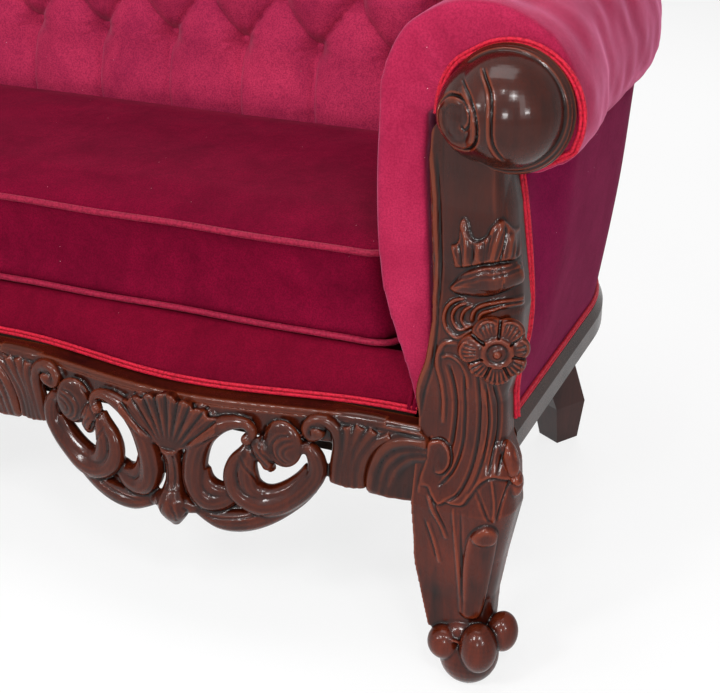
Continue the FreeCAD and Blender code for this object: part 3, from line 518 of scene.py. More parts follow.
# velvet: brushed patches where the nap lies another way, a fine pile and a sheen at its edges
def velvetFinish(name, deep, body, light, sheen, nap, shine, patch=7.0):
    cloth = Finish(name, Sheen_Weight=shine, Sheen_Roughness=0.38, Specular_IOR_Level=0.03,
                   Sheen_Tint=(*sheen, 1))
    wide = cloth.noise(patch, 3.0, 0.55, None, 0.9)
    brushed = cloth.noise(1.0, 4.0, 0.65, (34, 20, 20), 0.5)
    crushed = cloth.noise(95.0, 3.0, 0.6)
    pile = cloth.noise(520.0, 3.0, 0.7)
    reach = 0.13 * nap
    lie = cloth.spread(wide * 0.5 + brushed * 0.32 + crushed * 0.18, 0.5 - reach, 0.5 + reach)
    colour = cloth.blend(0.45, cloth.blend(lie, deep, light), body)
    colour = cloth.blend(cloth.spread(pile, 0.42, 0.6) * 0.5, colour, deep)
    lint = cloth.add("ShaderNodeTexVoronoi", Vector=cloth.place, Scale=42.0)[0]
    away = Value(cloth.tree, lint.outputs["Distance"])
    colour = cloth.blend(away.math("LESS_THAN", away, 0.02) * 0.6, colour, (0.75, 0.55, 0.6))
    cloth.feed("Base Color", colour).feed("Roughness", (lie * -0.1 + 0.82).within())
    cloth.bump(pile * 0.8 + crushed * 0.8, 0.3, 0.0009)
    return cloth.material


def cordFinish(name, deep, bright):     # corded braid, finely mottled
    cord = Finish(name, Sheen_Weight=0.12, Sheen_Roughness=0.3, Specular_IOR_Level=0.2,
                  Sheen_Tint=(1, 0.45, 0.5, 1))
    grain = cord.noise(420.0, 2.0)
    twist = cord.noise(1.0, 1.0, 0.4, (420, 420, 420), 0.6)
    shade = cord.spread(twist * 0.5 + grain * 0.5, 0.25, 0.6)
    cord.feed("Base Color", cord.blend(shade, deep, bright))
    cord.feed("Roughness", (shade * -0.15 + 0.75).within())
    cord.bump(twist + grain * 0.5, 0.5, 0.0008)
    return cord.material


def metalFinish(name, dark, bright):    # drawn wire, lightly scuffed
    metal = Finish(name, Metallic=1.0)
    scuff = metal.noise(140.0, 4.0, 0.6)
    drawn = metal.noise(1.0, 2.0, 0.5, (30, 900, 30))
    metal.feed("Base Color", metal.blend(metal.spread(scuff, 0.35, 0.7), dark, bright))
    metal.feed("Roughness", (scuff * 0.3 + drawn * 0.15 + 0.18).within())
    metal.bump(drawn, 0.1, 0.0003)
    return metal.material


def liningFinish(name, dark, pale):     # plain weave of the covers under the seat
    weave = Finish(name, Specular_IOR_Level=0.15)
    across, along = [weave.add("ShaderNodeTexWave", {"bands_direction": way}, out=1,
                               Vector=weave.place, Scale=260.0, Distortion=0.8)[1] for way in "XY"]
    threads = across.math("MAXIMUM", across, along)
    tone = weave.spread(threads * 0.7 + weave.noise(30.0) * 0.5, 0.3, 0.95)
    weave.feed("Base Color", weave.blend(tone, dark, pale))
    weave.feed("Roughness", (tone * -0.05 + 0.92).within())
    weave.bump(threads, 0.3, 0.0004)
    return weave.material


# deep, body and worn or light colour; then a wood's grain, gloss, carving and coat, or a velvet's
# sheen, nap, shine and patches
mahogany = woodFinish("mahogany", (0.006, 0.0012, 0.0008), (0.100, 0.0112, 0.0026), (0.24, 0.040, 0.012))
apronWood = woodFinish(
    "mahogany_rail", (0.006, 0.0012, 0.0008), (0.066, 0.0082, 0.0020), (0.16, 0.028, 0.008))
railWood = woodFinish(
    "mahogany_rail", (0.012, 0.005, 0.004), (0.050, 0.020, 0.014), (0.1, 0.04, 0.03),
    lengthwise, 0.16, False, 0.5)
legWood = woodFinish(
    "mahogany_rear", (0.012, 0.003, 0.002), (0.050, 0.010, 0.007), (0.1, 0.04, 0.03),
    upright, 0.24, False)
# beech darkened to painted shade: the frame pieces it covers show only in dark gaps, such as the arm's top
# rail under the roll
shadowBeech = woodFinish(
    "beech_painted_shade", (0.010, 0.006, 0.004), (0.040, 0.022, 0.014), (0.1, 0.06, 0.04),
    sawn, 0.5, False, 0.0)
beech = woodFinish(
    "beech", (0.30, 0.18, 0.09), (0.56, 0.38, 0.22), (0.6, 0.45, 0.3), sawn, 0.6, False, 0.0)
tuftVelvet = velvetFinish(
    "velvet_back", (0.085, 0.004, 0.028), (0.39, 0.020, 0.070), (0.68, 0.05, 0.125),
    (1.0, 0.35, 0.55), 2.3, 0.26, 12.0)
armVelvet = velvetFinish(
    "velvet_arm", (0.16, 0.005, 0.026), (0.31, 0.012, 0.046), (0.47, 0.030, 0.095),
    (1.0, 0.38, 0.64), 1.5, 0.46, 9.0)
seatVelvet = velvetFinish(
    "velvet_seat", (0.050, 0.001, 0.008), (0.130, 0.001, 0.015), (0.27, 0.004, 0.034),
    (1.0, 0.25, 0.42), 1.7, 0.05, 9.0)
borderVelvet = velvetFinish(
    "velvet_border", (0.060, 0.001, 0.008), (0.130, 0.001, 0.012), (0.22, 0.003, 0.024),
    (1.0, 0.25, 0.42), 1.4, 0.04)
panelVelvet = velvetFinish(
    "velvet_panel", (0.085, 0.0015, 0.022), (0.16, 0.003, 0.038), (0.26, 0.008, 0.065),
    (1.0, 0.30, 0.60), 1.6, 0.04, 12.0)
gimpCord = cordFinish("gimp", (0.20, 0.002, 0.012), (0.50, 0.008, 0.030))
weltVelvet = cordFinish("welt", (0.13, 0.001, 0.016), (0.26, 0.005, 0.032))
springSteel = metalFinish("steel", (0.32, 0.32, 0.33), (0.6, 0.6, 0.6))
lining = liningFinish("lining", (0.02, 0.018, 0.016), (0.09, 0.085, 0.08))


# gives a finished piece its material, its slot, its body and the node that it stands for
def dress(obj, name, finish, node, body="frame"):
    obj.name = name + "_look"
    obj.data.materials.clear()
    obj.data.materials.append(finish)
    pick(obj)
    bpy.ops.object.shade_smooth()
    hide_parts(node)
    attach(obj, body)
    return obj


def dressPair(obj, base, finish, nodeBase):
    left = mirrored(obj, base + "_left")
    if "hollow" in obj.data.attributes and "hollow" not in left.data.attributes:
        markHollows(left)
    return (dress(obj, base + "_right", finish, nodeBase + "_right"),
            dress(left, base + "_left", finish, nodeBase + "_left"))


print("materials made")


# Front posts
post = {
    "skin": 0.0014,
    "ankle": 0.060,         # the turned foot is modelled below this height
    "base": ((0.623, -0.297, 0.031), (0.0330, 0.034, 0.035)),
    "toes": [((0.6005, -0.314, 0.050), (0.0195, 0.0190, 0.0205)),
             ((0.6410, -0.321, 0.056), (0.0205, 0.0210, 0.0290)),
             ((0.6590, -0.293, 0.065), (0.0170, 0.0190, 0.0235)),
             ((0.598, -0.276, 0.045), (0.018, 0.018, 0.020))],
    # how far the outer edge is drawn in, by height
    "drawnIn": ([0, 0.27, 0.30, 0.35, 0.40, 0.47, 0.53, 0.64],
                [0, 0, 0.008, 0.011, 0.008, 0.009, 0.010, 0.009]),
    "innerEdge": ([0.10, 0.14, 0.172, 0.224, 0.31, 0.35, 0.43, 0.48, 0.52, 0.60],
                  [0, 0.001, 0.005, 0.009, 0.013, 0.007, 0.012, 0.008, 0.007, 0.006]),
    "beads": [
        # the strip up the inner edge
        ([(-57, 600), (-52, 560), (-50, 528), (-45, 477), (-46, 423), (-51, 386), (-61, 356), (-66, 327)],
         3.2, 1.6),
        ([(-51, 600), (-45.5, 529), (-41.5, 478), (-42, 415), (-47.5, 378), (-56, 348), (-61, 315)],
         1.7, -1.6),
        # edge line beside the outer side
        ([(34, 586), (38, 552), (42, 520), (46, 497)], 1.8, -1.3),
        ([(38, 586), (42, 552), (46, 520), (49, 500)], 2.6, 1.0),
        # strands that run down from the rosette to the knee
        ([(-19, 412), (-33, 409), (-40, 396), (-41, 381), (-37, 362), (-35, 340), (-35, 315)], 3.0, 2.2),
        ([(-37, 392), (-27, 396), (-16, 389), (-10, 376), (-9, 360)], 2.4, 2.0),
        ([(-30, 386), (-24, 360), (-22, 330), (-24, 300), (-26, 288)], 3.2, -1.9),
        ([(-13, 377), (-13, 357), (-12, 327), (-13, 296), (-20, 268), (-34, 246)], 2.2, -1.7),
        ([(-2, 390), (1, 378), (3, 350), (4, 320), (2, 292), (-3, 266), (-13, 242), (-29, 229)], 2.0, -2.0),
        ([(9, 372), (12, 350), (14, 320), (11, 290), (5, 262), (-2, 244)], 1.9, -1.8),
        ([(17, 370), (20, 340), (21, 312), (19, 290), (17, 268)], 1.9, -1.8),
        ([(41, 384), (36, 360), (31, 335), (29, 305), (26, 280), (24, 268)], 1.8, -1.6),
        ([(50, 386), (43, 360), (38, 335), (37, 315), (39, 294), (43, 282)], 2.0, 1.8),
        # lower leg
        ([(-17, 226), (-15, 190), (-12, 140), (-10, 88)], 2.2, 1.4),
        ([(-9, 226), (-8.7, 170), (-7, 85)], 1.5, -1.5),
        ([(-46, 236), (-39, 218), (-30, 200), (-25, 184)], 2.6, 2.0),
        ([(-41, 232), (-34, 214), (-26, 197)], 1.3, -1.4),
        ([(-46, 203), (-38, 176), (-33, 150)], 2.2, 1.5),
        ([(-50, 206), (-43, 180), (-38, 156)], 1.2, -1.2),
        ([(6, 250), (14, 232), (22, 214)], 1.3, -1.6),
        ([(20, 262), (24, 238), (25, 214)], 1.5, 1.6),
        ([(35, 257), (31, 236), (28, 215)], 1.3, -1.6),
        ([(44, 214), (37, 190), (31, 160), (27, 130), (24, 100)], 1.8, -1.3),
    ],
    "steps": [
        # comma curl beside the rail, then the leaf over the knee
        ([(-40, 259), (-31, 261), (-24, 272), (-25, 287), (-34, 297), (-48, 294), (-58, 284)], 3.0, 12.0),
        ([(-48, 300), (-52, 270), (-57, 250), (-58, 233)], 1.6, 9.0),
        ([(-54, 243), (-47, 243), (-42, 234), (-34, 226), (-26, 230), (-19, 229), (-7, 231), (-1, 240),
          (6, 253), (13, 261), (20, 265), (29, 262), (37, 257), (44, 253), (50, 257)], 2.6, 12.0),
    ],
    "crown": [(-25, 490), (-28, 502), (-30, 512), (-25, 514), (-22, 520), (-22, 534), (-19, 541),
              (-15, 539), (-12, 529), (-8, 522), (-2, 521), (6, 526), (10, 536), (16, 544), (21, 539),
              (25, 531), (28, 529), (31, 536), (34, 547), (38, 538), (39, 524), (42, 503), (30, 501),
              (15, 502), (0, 498), (-14, 493)],
    "crownGrooves": [
        [(-21, 516), (-18, 504), (-17, 492)],
        [(-7, 519), (-6, 507), (-7, 496)],
        [(4, 523), (5, 511), (4, 499)],
        [(10, 530), (8, 516), (7, 501)],
        [(19, 536), (19, 521), (17, 503)],
        [(27, 527), (28, 515), (28, 503)],
    ],
    "crownRidges": [
        [(-20, 536), (-14, 521), (-12, 496)],
        [(-27, 510), (-23, 501), (-21, 493)],
        [(-1, 520), (-1, 510), (-1, 500)],
        [(16, 541), (14, 525), (12, 502)],
        [(23, 528), (23, 516), (23, 504)],
        [(35, 543), (33, 524), (35, 504)],
    ],
    "hood": [(-31, 467), (-22, 480), (-9, 491), (5, 497), (20, 500), (33, 501), (43, 498), (51, 491),
             (55, 482), (57, 470), (49, 473), (36, 475), (22, 470), (8, 465), (-8, 463), (-24, 463)],
    "hoodLine": [(-28, 471), (-18, 481), (-6, 488), (7, 494), (20, 496), (32, 497), (41, 493), (48, 486),
                 (52, 477)],
    "curls": [
        ([(-14, 459), (-24, 456), (-32, 447), (-34, 434), (-29, 423), (-19, 418), (-5, 428)], 2.4, 3.0),
        ([(-10, 455), (-17, 453), (-24, 446), (-25, 436), (-18, 427), (-7, 431)], 2.1, 3.0),
        ([(-5, 454), (-13, 448), (-16, 439), (-12, 432), (-4, 433)], 1.9, 2.8),
        ([(-6, 437), (-3, 449), (6, 456), (19, 460), (32, 460), (42, 455), (50, 447)], 2.3, 3.2),
        ([(1, 439), (4, 447), (14, 452), (24, 455.5), (35, 455), (45, 449)], 1.9, 2.6),
    ],
    "tongue": [(17, 212), (8, 205), (0, 193), (-4, 176), (-7, 150), (-9, 118), (-10, 90), (0, 84),
               (10, 88), (15, 110), (21, 150), (26, 182), (28, 200), (24, 209)],
    "tongueTip": [(17, 211), (9, 206), (4, 197), (7, 189), (15, 186), (24, 189), (27, 198), (24, 207)],
    "instep": ((0.620, -0.296, 0.060), (0.030, 0.026, 0.022)),
    "sole": 0.0008,             # what is lower lies flat on the floor
    "outerSide": (0.636, 0.018), "innerSide": (-0.612, 0.03),
    "headCorner": (0.597, 0.608, 0.030),        # across, up, radius
    "rounded": (0.628, 0.046, 0.009),           # middle, half width, depth
    "roundedFrom": 0.47, "roundedFace": (0.285, 0.01),
    "rufflesOut": [((0.6630, -0.296, 0.282), (0.0085, 0.011, 0.020)),
                   ((0.6655, -0.292, 0.252), (0.0080, 0.010, 0.016))],
}


def makePost():
    shape = copyNode("front_post_right", "post")
    cutFlat(shape, (0, 0, post["ankle"]), (0, 0, -1))
    foot = [ball(*lump) for lump in [post["base"]] + post["toes"] + [post["instep"]]]
    foot += [ball(place, size, segments=20) for place, size in post["rufflesOut"]]
    shape = joinPieces("post", [shape] + foot)
    voxels(shape, post["skin"], 2)
    cutFlat(shape, (0, 0, 0.0003), (0, 0, -1))
    points = readPoints(shape)
    x, y, z = points.T
    z[:] = np.where(z < post["sole"], 0.0, z)
    drawnIn = np.interp(z, *post["drawnIn"]) * ramp(x, *post["outerSide"])
    x += np.interp(z, *post["innerEdge"]) * ramp(-x, *post["innerSide"]) - drawnIn
    # the head's inner corner is rounded under the scroll
    middle, up, radius = post["headCorner"]
    z[:] = np.minimum(z, up + np.sqrt(radius ** 2 - np.clip(middle - x, 0, radius - 0.0001) ** 2))
    # its upper length is rounded across the front
    middle, half, depth = post["rounded"]
    across = (1 - ((x - middle) / half) ** 2).clip(0)
    y -= depth * (across * smoothStep((z - post["roundedFrom"]) / 0.03) * ramp(-y, *post["roundedFace"]))
    writePoints(shape, points)
    work = Carving(shape, fromFront(postMiddle))
    work.mound(post["crown"], 4.4, 2.6, 1.0)
    for groove in post["crownGrooves"]:
        work.bead(groove, 1.5, -2.6, 0.2)
    for ridge in post["crownRidges"]:
        work.bead(ridge, 1.9, 1.6, 0.2)
    work.mound(post["hood"], 8.5, 13.0, 3.0)
    work.bead(post["hoodLine"], 1.3, -2.2)
    work.bead([(x * 0.97, z - 4.0) for x, z in post["hoodLine"]], 1.1, -1.4)
    for line, width, height in post["curls"]:
        work.bead(line, width, height * 1.25)
    for line, height, fade in post["steps"]:
        work.step(line, height * 1.3, fade)
    work.mound(post["tongue"], 4.2, 6.0)
    work.mound(post["tongueTip"], 3.6, 7.0)
    for line, width, height in post["beads"]:
        work.bead(line, width, height * 1.3)
    work.finish()
    return markHollows(shape)


postRight = makePost()
print("post carved:", len(postRight.data.polygons), "faces")


# Rosettes
flower = {
    "middle": (0.6475, -0.3195, 0.411),
    "turn": 20.0,          # degrees that it faces outwards, with the rounded corner of the post
    "skin": 0.0011,
    # angle, distance from the middle, width, length, height
    "petals": [(178, 24, 16, 15, 9), (112, 23, 17, 14, 7.5), (60, 23, 16, 15, 7.5), (10, 20, 14, 13, 6.5),
               (-40, 20, 15, 14, 7), (-88, 22, 17, 15, 7.5), (-134, 21, 14, 14, 7)],
    "ground": (0.020, 0.007, 0.020),
    "ring": ((0, -0.0065, 0), 0.0135, 0.0036),
    "heart": [((0, -0.004, 0), (0.0115, 0.006, 0.0115)), ((0, -0.0095, 0), 0.0042)],
    "back": -0.285,
    # grooves: angle, from, to, width, depth
    "ribs": [(145, 15, 38, 1.9, 3.4), (86, 15, 38, 1.8, 3.2), (35, 15, 34, 1.8, 3.2),
             (-15, 15, 34, 1.7, 3.0), (-64, 15, 37, 1.8, 3.0), (-112, 15, 37, 1.8, 3.0),
             (-155, 15, 36, 1.9, 3.4), (166, 22, 34, 1.2, 1.3), (174, 20, 35, 1.2, 1.5),
             (182, 20, 35, 1.2, 1.5), (190, 22, 34, 1.2, 1.3), (100, 21, 33, 1.1, 1.2),
             (108, 19, 34, 1.1, 1.3), (117, 19, 34, 1.1, 1.3), (126, 21, 33, 1.1, 1.2),
             (48, 21, 33, 1.1, 1.2), (57, 19, 34, 1.1, 1.3), (66, 19, 34, 1.1, 1.3),
             (74, 21, 33, 1.1, 1.2), (4, 19, 30, 1.2, 1.4), (16, 19, 30, 1.2, 1.4),
             (-30, 18, 32, 1.3, 1.9), (-41, 18, 33, 1.4, 2.1), (-52, 18, 33, 1.3, 1.9),
             (-74, 18, 35, 1.4, 2.2), (-83, 18, 36, 1.4, 2.3), (-92, 18, 36, 1.4, 2.3),
             (-101, 18, 35, 1.4, 2.2), (-122, 18, 33, 1.3, 1.9), (-132, 18, 34, 1.4, 2.0),
             (-143, 18, 33, 1.3, 1.8)],
}


def onFlower(angle, away):
    return math.cos(angle) * away, math.sin(angle) * away


def makeFlower():
    parts = [ball((0, 0, 0), flower["ground"])]
    for angle, away, width, length, height in flower["petals"]:
        petal = ball((0, 0, 0), (width / 1000, height / 1000, length / 1000), segments=40)
        a = math.radians(angle)
        across, up = onFlower(a, away)
        shift = Matrix.Translation((across / 1000, 0, up / 1000))
        petal.matrix_world = shift @ Matrix.Rotation(math.pi / 2 - a, 4, "Y")
        parts.append(settle(petal))
    parts.append(ringRound(*flower["ring"]))
    parts += [ball(*lump) for lump in flower["heart"]]
    shape = joinPieces("flower", parts)
    voxels(shape, flower["skin"], 1)
    work = Carving(shape, fromFront(0))
    for angle, start, end, width, depth in flower["ribs"]:
        a = math.radians(angle)
        work.bead([onFlower(a, r) for r in (start, (start + end) / 2, end)], width, -depth, 0.15)
    for angle, away, width, length, height in flower["petals"]:
        a = math.radians(angle)
        x, z = onFlower(a, away)
        rim = [(x + math.cos(a + t) * length * 0.8, z + math.sin(a + t) * length * 0.8)
               for t in np.linspace(-1.1, 1.1, 9)]
        work.bead(rim, 1.5, 1.6, 0.25)
    work.finish()
    lie = Matrix.Rotation(math.radians(flower["turn"]), 4, "Z")
    points = np.array([lie @ Vector(p) + Vector(flower["middle"]) for p in readPoints(shape)])
    points[:, 1] = np.minimum(points[:, 1], flower["back"])
    writePoints(shape, points)
    return markHollows(shape)


flowerRight = makeFlower()
print("rosette carved:", len(flowerRight.data.polygons), "faces")


# Arm scrolls
scroll = {
    "skin": 0.0011,
    "back": -0.3053,
    "ball": ((0.6475, -0.3165, 0.6530), (0.0540, 0.0530, 0.0540)),
    "band": [((0.626, -0.315, 0.649), (0.0440, 0.0470, 0.0475)),
             ((0.618, -0.313, 0.648), (0.0380, 0.0440, 0.0430))],
    "volute": ((0.611, -0.3190, 0.646), (0.0300, 0.0370, 0.0310)),
    "rings": [((0.6475, -0.3080, 0.6505), 0.0598, 0.0024), ((0.6475, -0.3120, 0.6515), 0.0578, 0.0023),
              ((0.6475, -0.3160, 0.6525), 0.0556, 0.0022)],
    "disc": ((0.6475, -0.309, 0.6505), 0.0600, 0.010),
    # grooves, in millimetres
    "eye": (612, 647),
    "spiral": [(618, 647), (621, 642), (627, 649), (627, 660), (619, 669), (607, 671), (598, 667),
               (590, 655), (592, 640), (601, 624), (614, 621), (625, 624), (634, 636), (634, 655),
               (626, 672), (612, 684)],
    "besideBall": [(632, 696), (644, 682), (648, 670), (649, 655), (650, 634), (657, 616)],
}


def makeScroll():
    parts = [ball(*scroll["ball"], segments=64)]
    parts += [ball(*band, segments=48) for band in scroll["band"] + [scroll["volute"]]]
    parts += [ringRound(*ring) for ring in scroll["rings"]]
    place, radius, depth = scroll["disc"]
    deselect()
    bpy.ops.mesh.primitive_cylinder_add(
        vertices=96, radius=radius, depth=depth, location=place, rotation=(math.pi / 2, 0, 0))
    parts.append(settle(bpy.context.active_object))
    shape = joinPieces("scroll", parts)
    cutFlat(shape, (0, scroll["back"], 0), (0, 1, 0))
    voxels(shape, scroll["skin"], 2)
    work = Carving(shape, fromFront(0))
    work.bead(scroll["spiral"], 1.7, -3.2, 0.08)
    x0, z0 = scroll["eye"]
    inner = [(x0 + (x - x0) * 0.82, z0 + (z - z0) * 0.82) for x, z in scroll["spiral"][4:]]
    work.bead(inner, 4.4, 1.8, 0.1)
    work.bead(scroll["besideBall"], 1.5, -3.0, 0.08)
    work.bead([(x - 3.6, z) for x, z in scroll["besideBall"]], 1.6, 1.2, 0.1)
    work.finish()
    points = readPoints(shape)
    points[:, 1] = np.minimum(points[:, 1], scroll["back"])
    writePoints(shape, points)
    return markHollows(shape)


scrollRight = makeScroll()
print("scroll carved:", len(scrollRight.data.polygons), "faces")


# Carved front rail and its pierced aprons
bow = {"back": 0.010, "depth": 0.015, "half": 0.245}


def bowed(x):
    away = np.minimum(np.abs(np.abs(x) - motifMiddle) / bow["half"], 1)
    return frontLine - bow["back"] - bow["depth"] * (1 + np.cos(np.pi * away))


apron = {
    "skin": 0.0015,
    "fuller": 1.12,
    # strands: across from the motif's middle, up, half thickness, how far forward; in millimetres
    "strands": [
        [(93, 270, 5.5, 11), (98, 278, 5, 10), (92, 286.5, 5, 9), (76, 286, 6.5, 7), (58, 278, 8.5, 5),
         (41, 262, 10.5, 4), (31, 240, 12, 3), (27, 215, 12.5, 2), (30, 196, 12, 2), (42, 184, 11.5, 2),
         (58, 185, 10, 1), (70, 193, 8, -2), (78, 203, 6, -5)],
        [(92, 262, 4, 3), (86, 250, 6.5, 5), (76, 238, 7, 6), (72, 222, 8, 7), (76, 206, 9, 8),
         (88, 194, 10, 8), (105, 189, 11.5, 7), (122, 192, 12, 6), (139, 203, 11.5, 5),
         (154, 217, 10.5, 5), (165, 235, 9.5, 5), (165, 253, 8.5, 6), (158, 265, 6.5, 7),
         (150, 264, 5, 8)],
        [(24, 168, 5, -2), (40, 164, 9, -1), (56, 161, 11.5, 0), (74, 162, 12.5, 0), (95, 167, 11.5, 0),
         (118, 178, 9.5, 0), (143, 196, 7, 0), (160, 212, 4, 0)],
        # inner lips of the two rings
        [(38, 222, 6, 1), (40, 208, 8, 1), (48, 198, 9, 0), (62, 196, 8, -1), (72, 200, 7, -2)],
        [(94, 256, 6, 5), (90, 242, 9, 5), (88, 226, 11, 4), (92, 210, 11, 4), (104, 201, 10, 3),
         (118, 201, 10, 3), (134, 209, 10, 3), (148, 222, 9, 2), (158, 238, 7, 2)],
        [(30, 176, 4, -8), (60, 176, 8, -8), (95, 178, 8, -8), (125, 190, 6, -8)],
        # curl at the head of the flutes, with its tail
        [(168, 284, 6, 9), (160, 279, 4.5, 7), (155, 287, 5, 6), (162, 297, 5.5, 5), (175, 298, 6, 4),
         (186, 289, 6.5, 3), (189, 272, 6.5, 2), (186, 250, 6.5, 1), (184, 234, 6.5, 0),
         (183, 224, 5.5, -1)],
        # flutes
        [(198, 295, 5, 2), (200, 280, 6, 3), (195, 256, 6, 2), (191.5, 238, 6, 1), (190, 223, 5.5, 0)],
        [(213, 297, 5, 2), (207, 281, 6, 3), (200, 260, 6, 2), (197.5, 240, 6, 1), (197, 222, 5.5, 0)],
        [(228, 295, 5, 2), (217, 279, 6, 3), (208, 261, 6, 2), (204, 242, 6, 1), (203.5, 222, 5.5, 0)],
        [(246, 291, 5, 1), (230, 281, 5.5, 2), (218, 264, 6, 2), (212, 243, 6, 1), (211, 223, 5.5, 0)],
        [(180, 300, 6, -6), (200, 300, 8, -6), (225, 300, 8, -6), (240, 300, 7, -6)],
        # leaves behind the hole between the two rings
        [(97, 258, 6, 2), (104, 250, 7, 3), (111, 240, 6, 3), (115, 230, 4, 1)],
        [(107, 262, 7, 2), (116, 253, 7, 3), (122, 244, 5, 2)],
        [(99, 268, 7, 4), (106, 258, 9, 6), (111, 246, 8, 6), (112, 234, 5, 4)],
    ],
    "balls": [((130, 267, 8), (23, 9, 28)), ((93, 270, 13), (6.5, 6, 6.5)),
              ((168, 286, 9), (8.5, 7, 8.5)), ((0, 176, 2), (12, 9, 12))],
    "column": [(0, 244, 12, 3), (0, 222, 9.5, -2), (0, 200, 9.5, -2), (0, 184, 13, 2)],
    "pendant": [(0, 190, 11, 3), (0, 176, 17, 4), (0, 162, 15, 3), (0, 150, 8, 2), (0, 143, 3, 2)],
    "pendantWings": [[(0, 180, 9, 4), (12, 174, 10, 3), (23, 170, 7, 1), (32, 171, 4, -1)]],
    "ground": [(0, 300), (200, 300), (246, 297), (248, 280), (215, 272), (165, 272), (112, 270),
               (60, 279), (0, 281)],
    "flats": [[(6, 236), (5, 214), (5, 192)], [(5, 178), (9, 166), (7, 154)],
              [(16, 174), (20, 168), (15, 160)]],
    "shell": [(0, 309), (9, 306.5), (13, 301), (20, 304), (28, 301), (31, 295.5), (38, 297.5), (46, 294),
              (48.5, 288.5), (55, 289), (61, 284), (60, 277), (42, 262), (24, 250), (12, 243), (0, 240)],
    "grooves": [
        # ribs of the leaf disc
        ([(118, 290), (109, 276), (108, 262), (116, 248), (128, 241)], 1.3, -1.0),
        ([(142, 282), (129, 279), (120, 266), (123, 252), (132, 243)], 1.5, -1.5),
        ([(145, 277), (134, 273), (127, 263), (129, 253), (137, 247)], 1.4, -1.4),
        ([(146, 271), (138, 267), (134, 260), (136, 254), (142, 250)], 1.2, -1.2),
        # turns of the curl, and the inner lip of the second ring
        ([(160, 292), (171, 293), (179, 286), (179, 279)], 1.3, -1.4),
        ([(84, 250), (90, 240), (98, 228), (104, 214)], 1.4, -1.4),
        ([(96, 254), (103, 246), (108, 236)], 1.3, -1.6),
        ([(103, 257), (110, 248), (115, 238)], 1.3, -1.6),
        ([(112, 256), (117, 249), (121, 240)], 1.2, -1.4),
        ([(40, 166), (60, 167), (80, 170), (100, 176), (122, 187)], 1.5, -1.2),
    ],
}


def onRail(d, z, forward):
    x = motifMiddle + d / 1000
    return (x, float(bowed(np.array(x))) - forward / 1000, z / 1000)


def railStrand(points):
    line = smoothPath(points, 3.0)
    return strand([(*onRail(d, z, f), (r * apron["fuller"] + 0.6) / 1000) for d, z, r, f in line], 4)


def flatLobe(outline, thick, forward):      # a flat carved field of a given outline and thickness
    line = smoothPath(outline)
    deselect()
    bpy.ops.mesh.primitive_circle_add(vertices=len(line), radius=0.01, fill_type="NGON")
    obj = bpy.context.active_object
    for vertex, (d, z) in zip(obj.data.vertices, line):
        vertex.co = onRail(d, z, forward)
    modify(obj, "SOLIDIFY", thickness=thick / 1000, offset=0)
    applyModifiers(obj)
    return cleanMesh(obj)


# ribs of the shell, finer towards its foot
def shellRibs(across, up):
    reach = np.hypot(across, up - 232)
    angle = np.arctan2(across, up - 232)
    onShell = (reach > 16) & (reach < 80) & (np.abs(across) < 60) & (up > 240)
    onShell &= up > 240 + 0.55 * (across - 10)
    ribs = np.abs(np.sin(angle * 15.5)) ** 0.7 - 0.6
    fine = np.abs(np.sin(angle * 46)) - 0.5
    return np.where(onShell, (ribs * 3.4 + fine * 0.9) * ramp(reach, 16, 30), 0)


def makeApron():
    parts = [railStrand(points) for points in apron["strands"] + apron["pendantWings"]]
    for (d, z, forward), (width, depth, height) in apron["balls"]:
        parts.append(ball(onRail(d, z, forward), (width / 1000, depth / 1000, height / 1000)))
    parts.append(flatLobe(apron["shell"], 14, 4))
    parts.append(flatLobe(apron["ground"], 14, -6))
    half = joinPieces("half", parts)
    other = linked("other", half.data.copy())
    points = readPoints(other)
    points[:, 0] = 2 * motifMiddle - points[:, 0]
    writePoints(other, points)
    cleanMesh(other, mirrorGap)
    middle = [railStrand(apron["column"]), railStrand(apron["pendant"])]
    whole = joinPieces("apron", [half, other] + middle)
    voxels(whole, apron["skin"], 2)
    work = Carving(whole, lambda p: np.column_stack([np.abs(p[:, 0] - motifMiddle), p[:, 2]]))
    for bead in apron["grooves"]:
        work.bead(*bead)
    work.height += shellRibs(*work.flat.T)
    for line in apron["flats"]:
        work.bead(line, 1.5, -1.4)
    work.finish()
    return markHollows(whole)


apronRight = makeApron()
print("apron carved:", len(apronRight.data.polygons), "faces")

rail = {
    "skin": 0.0020,
    "beadUp": 0.3005,
    "longer": 0.018,
    # arcs beside the post, from the motif's middle, and the board behind them
    "arcs": [
        [(286, 291, 5, 2), (266, 290, 5.5, 3), (249, 284, 6, 3), (237, 272, 6, 3), (229, 255, 6, 2),
         (225, 238, 6, 1), (223, 222, 5, 0)],
        [(286, 283, 4, 1), (269, 281, 5, 2), (256, 275, 5.5, 2), (245, 263, 5.5, 2), (238, 248, 5.5, 1),
         (234, 232, 5.5, 0), (232, 220, 5, -1)],
        [(286, 275, 4, 0), (272, 273, 5, 1), (262, 266, 5, 1), (253, 256, 5, 1), (247, 243, 5, 0),
         (243, 230, 5, -1), (241, 219, 5, -2)],
    ],
    "board": [(216, 296), (286, 296), (286, 222), (270, 219), (245, 216), (220, 218)],
}


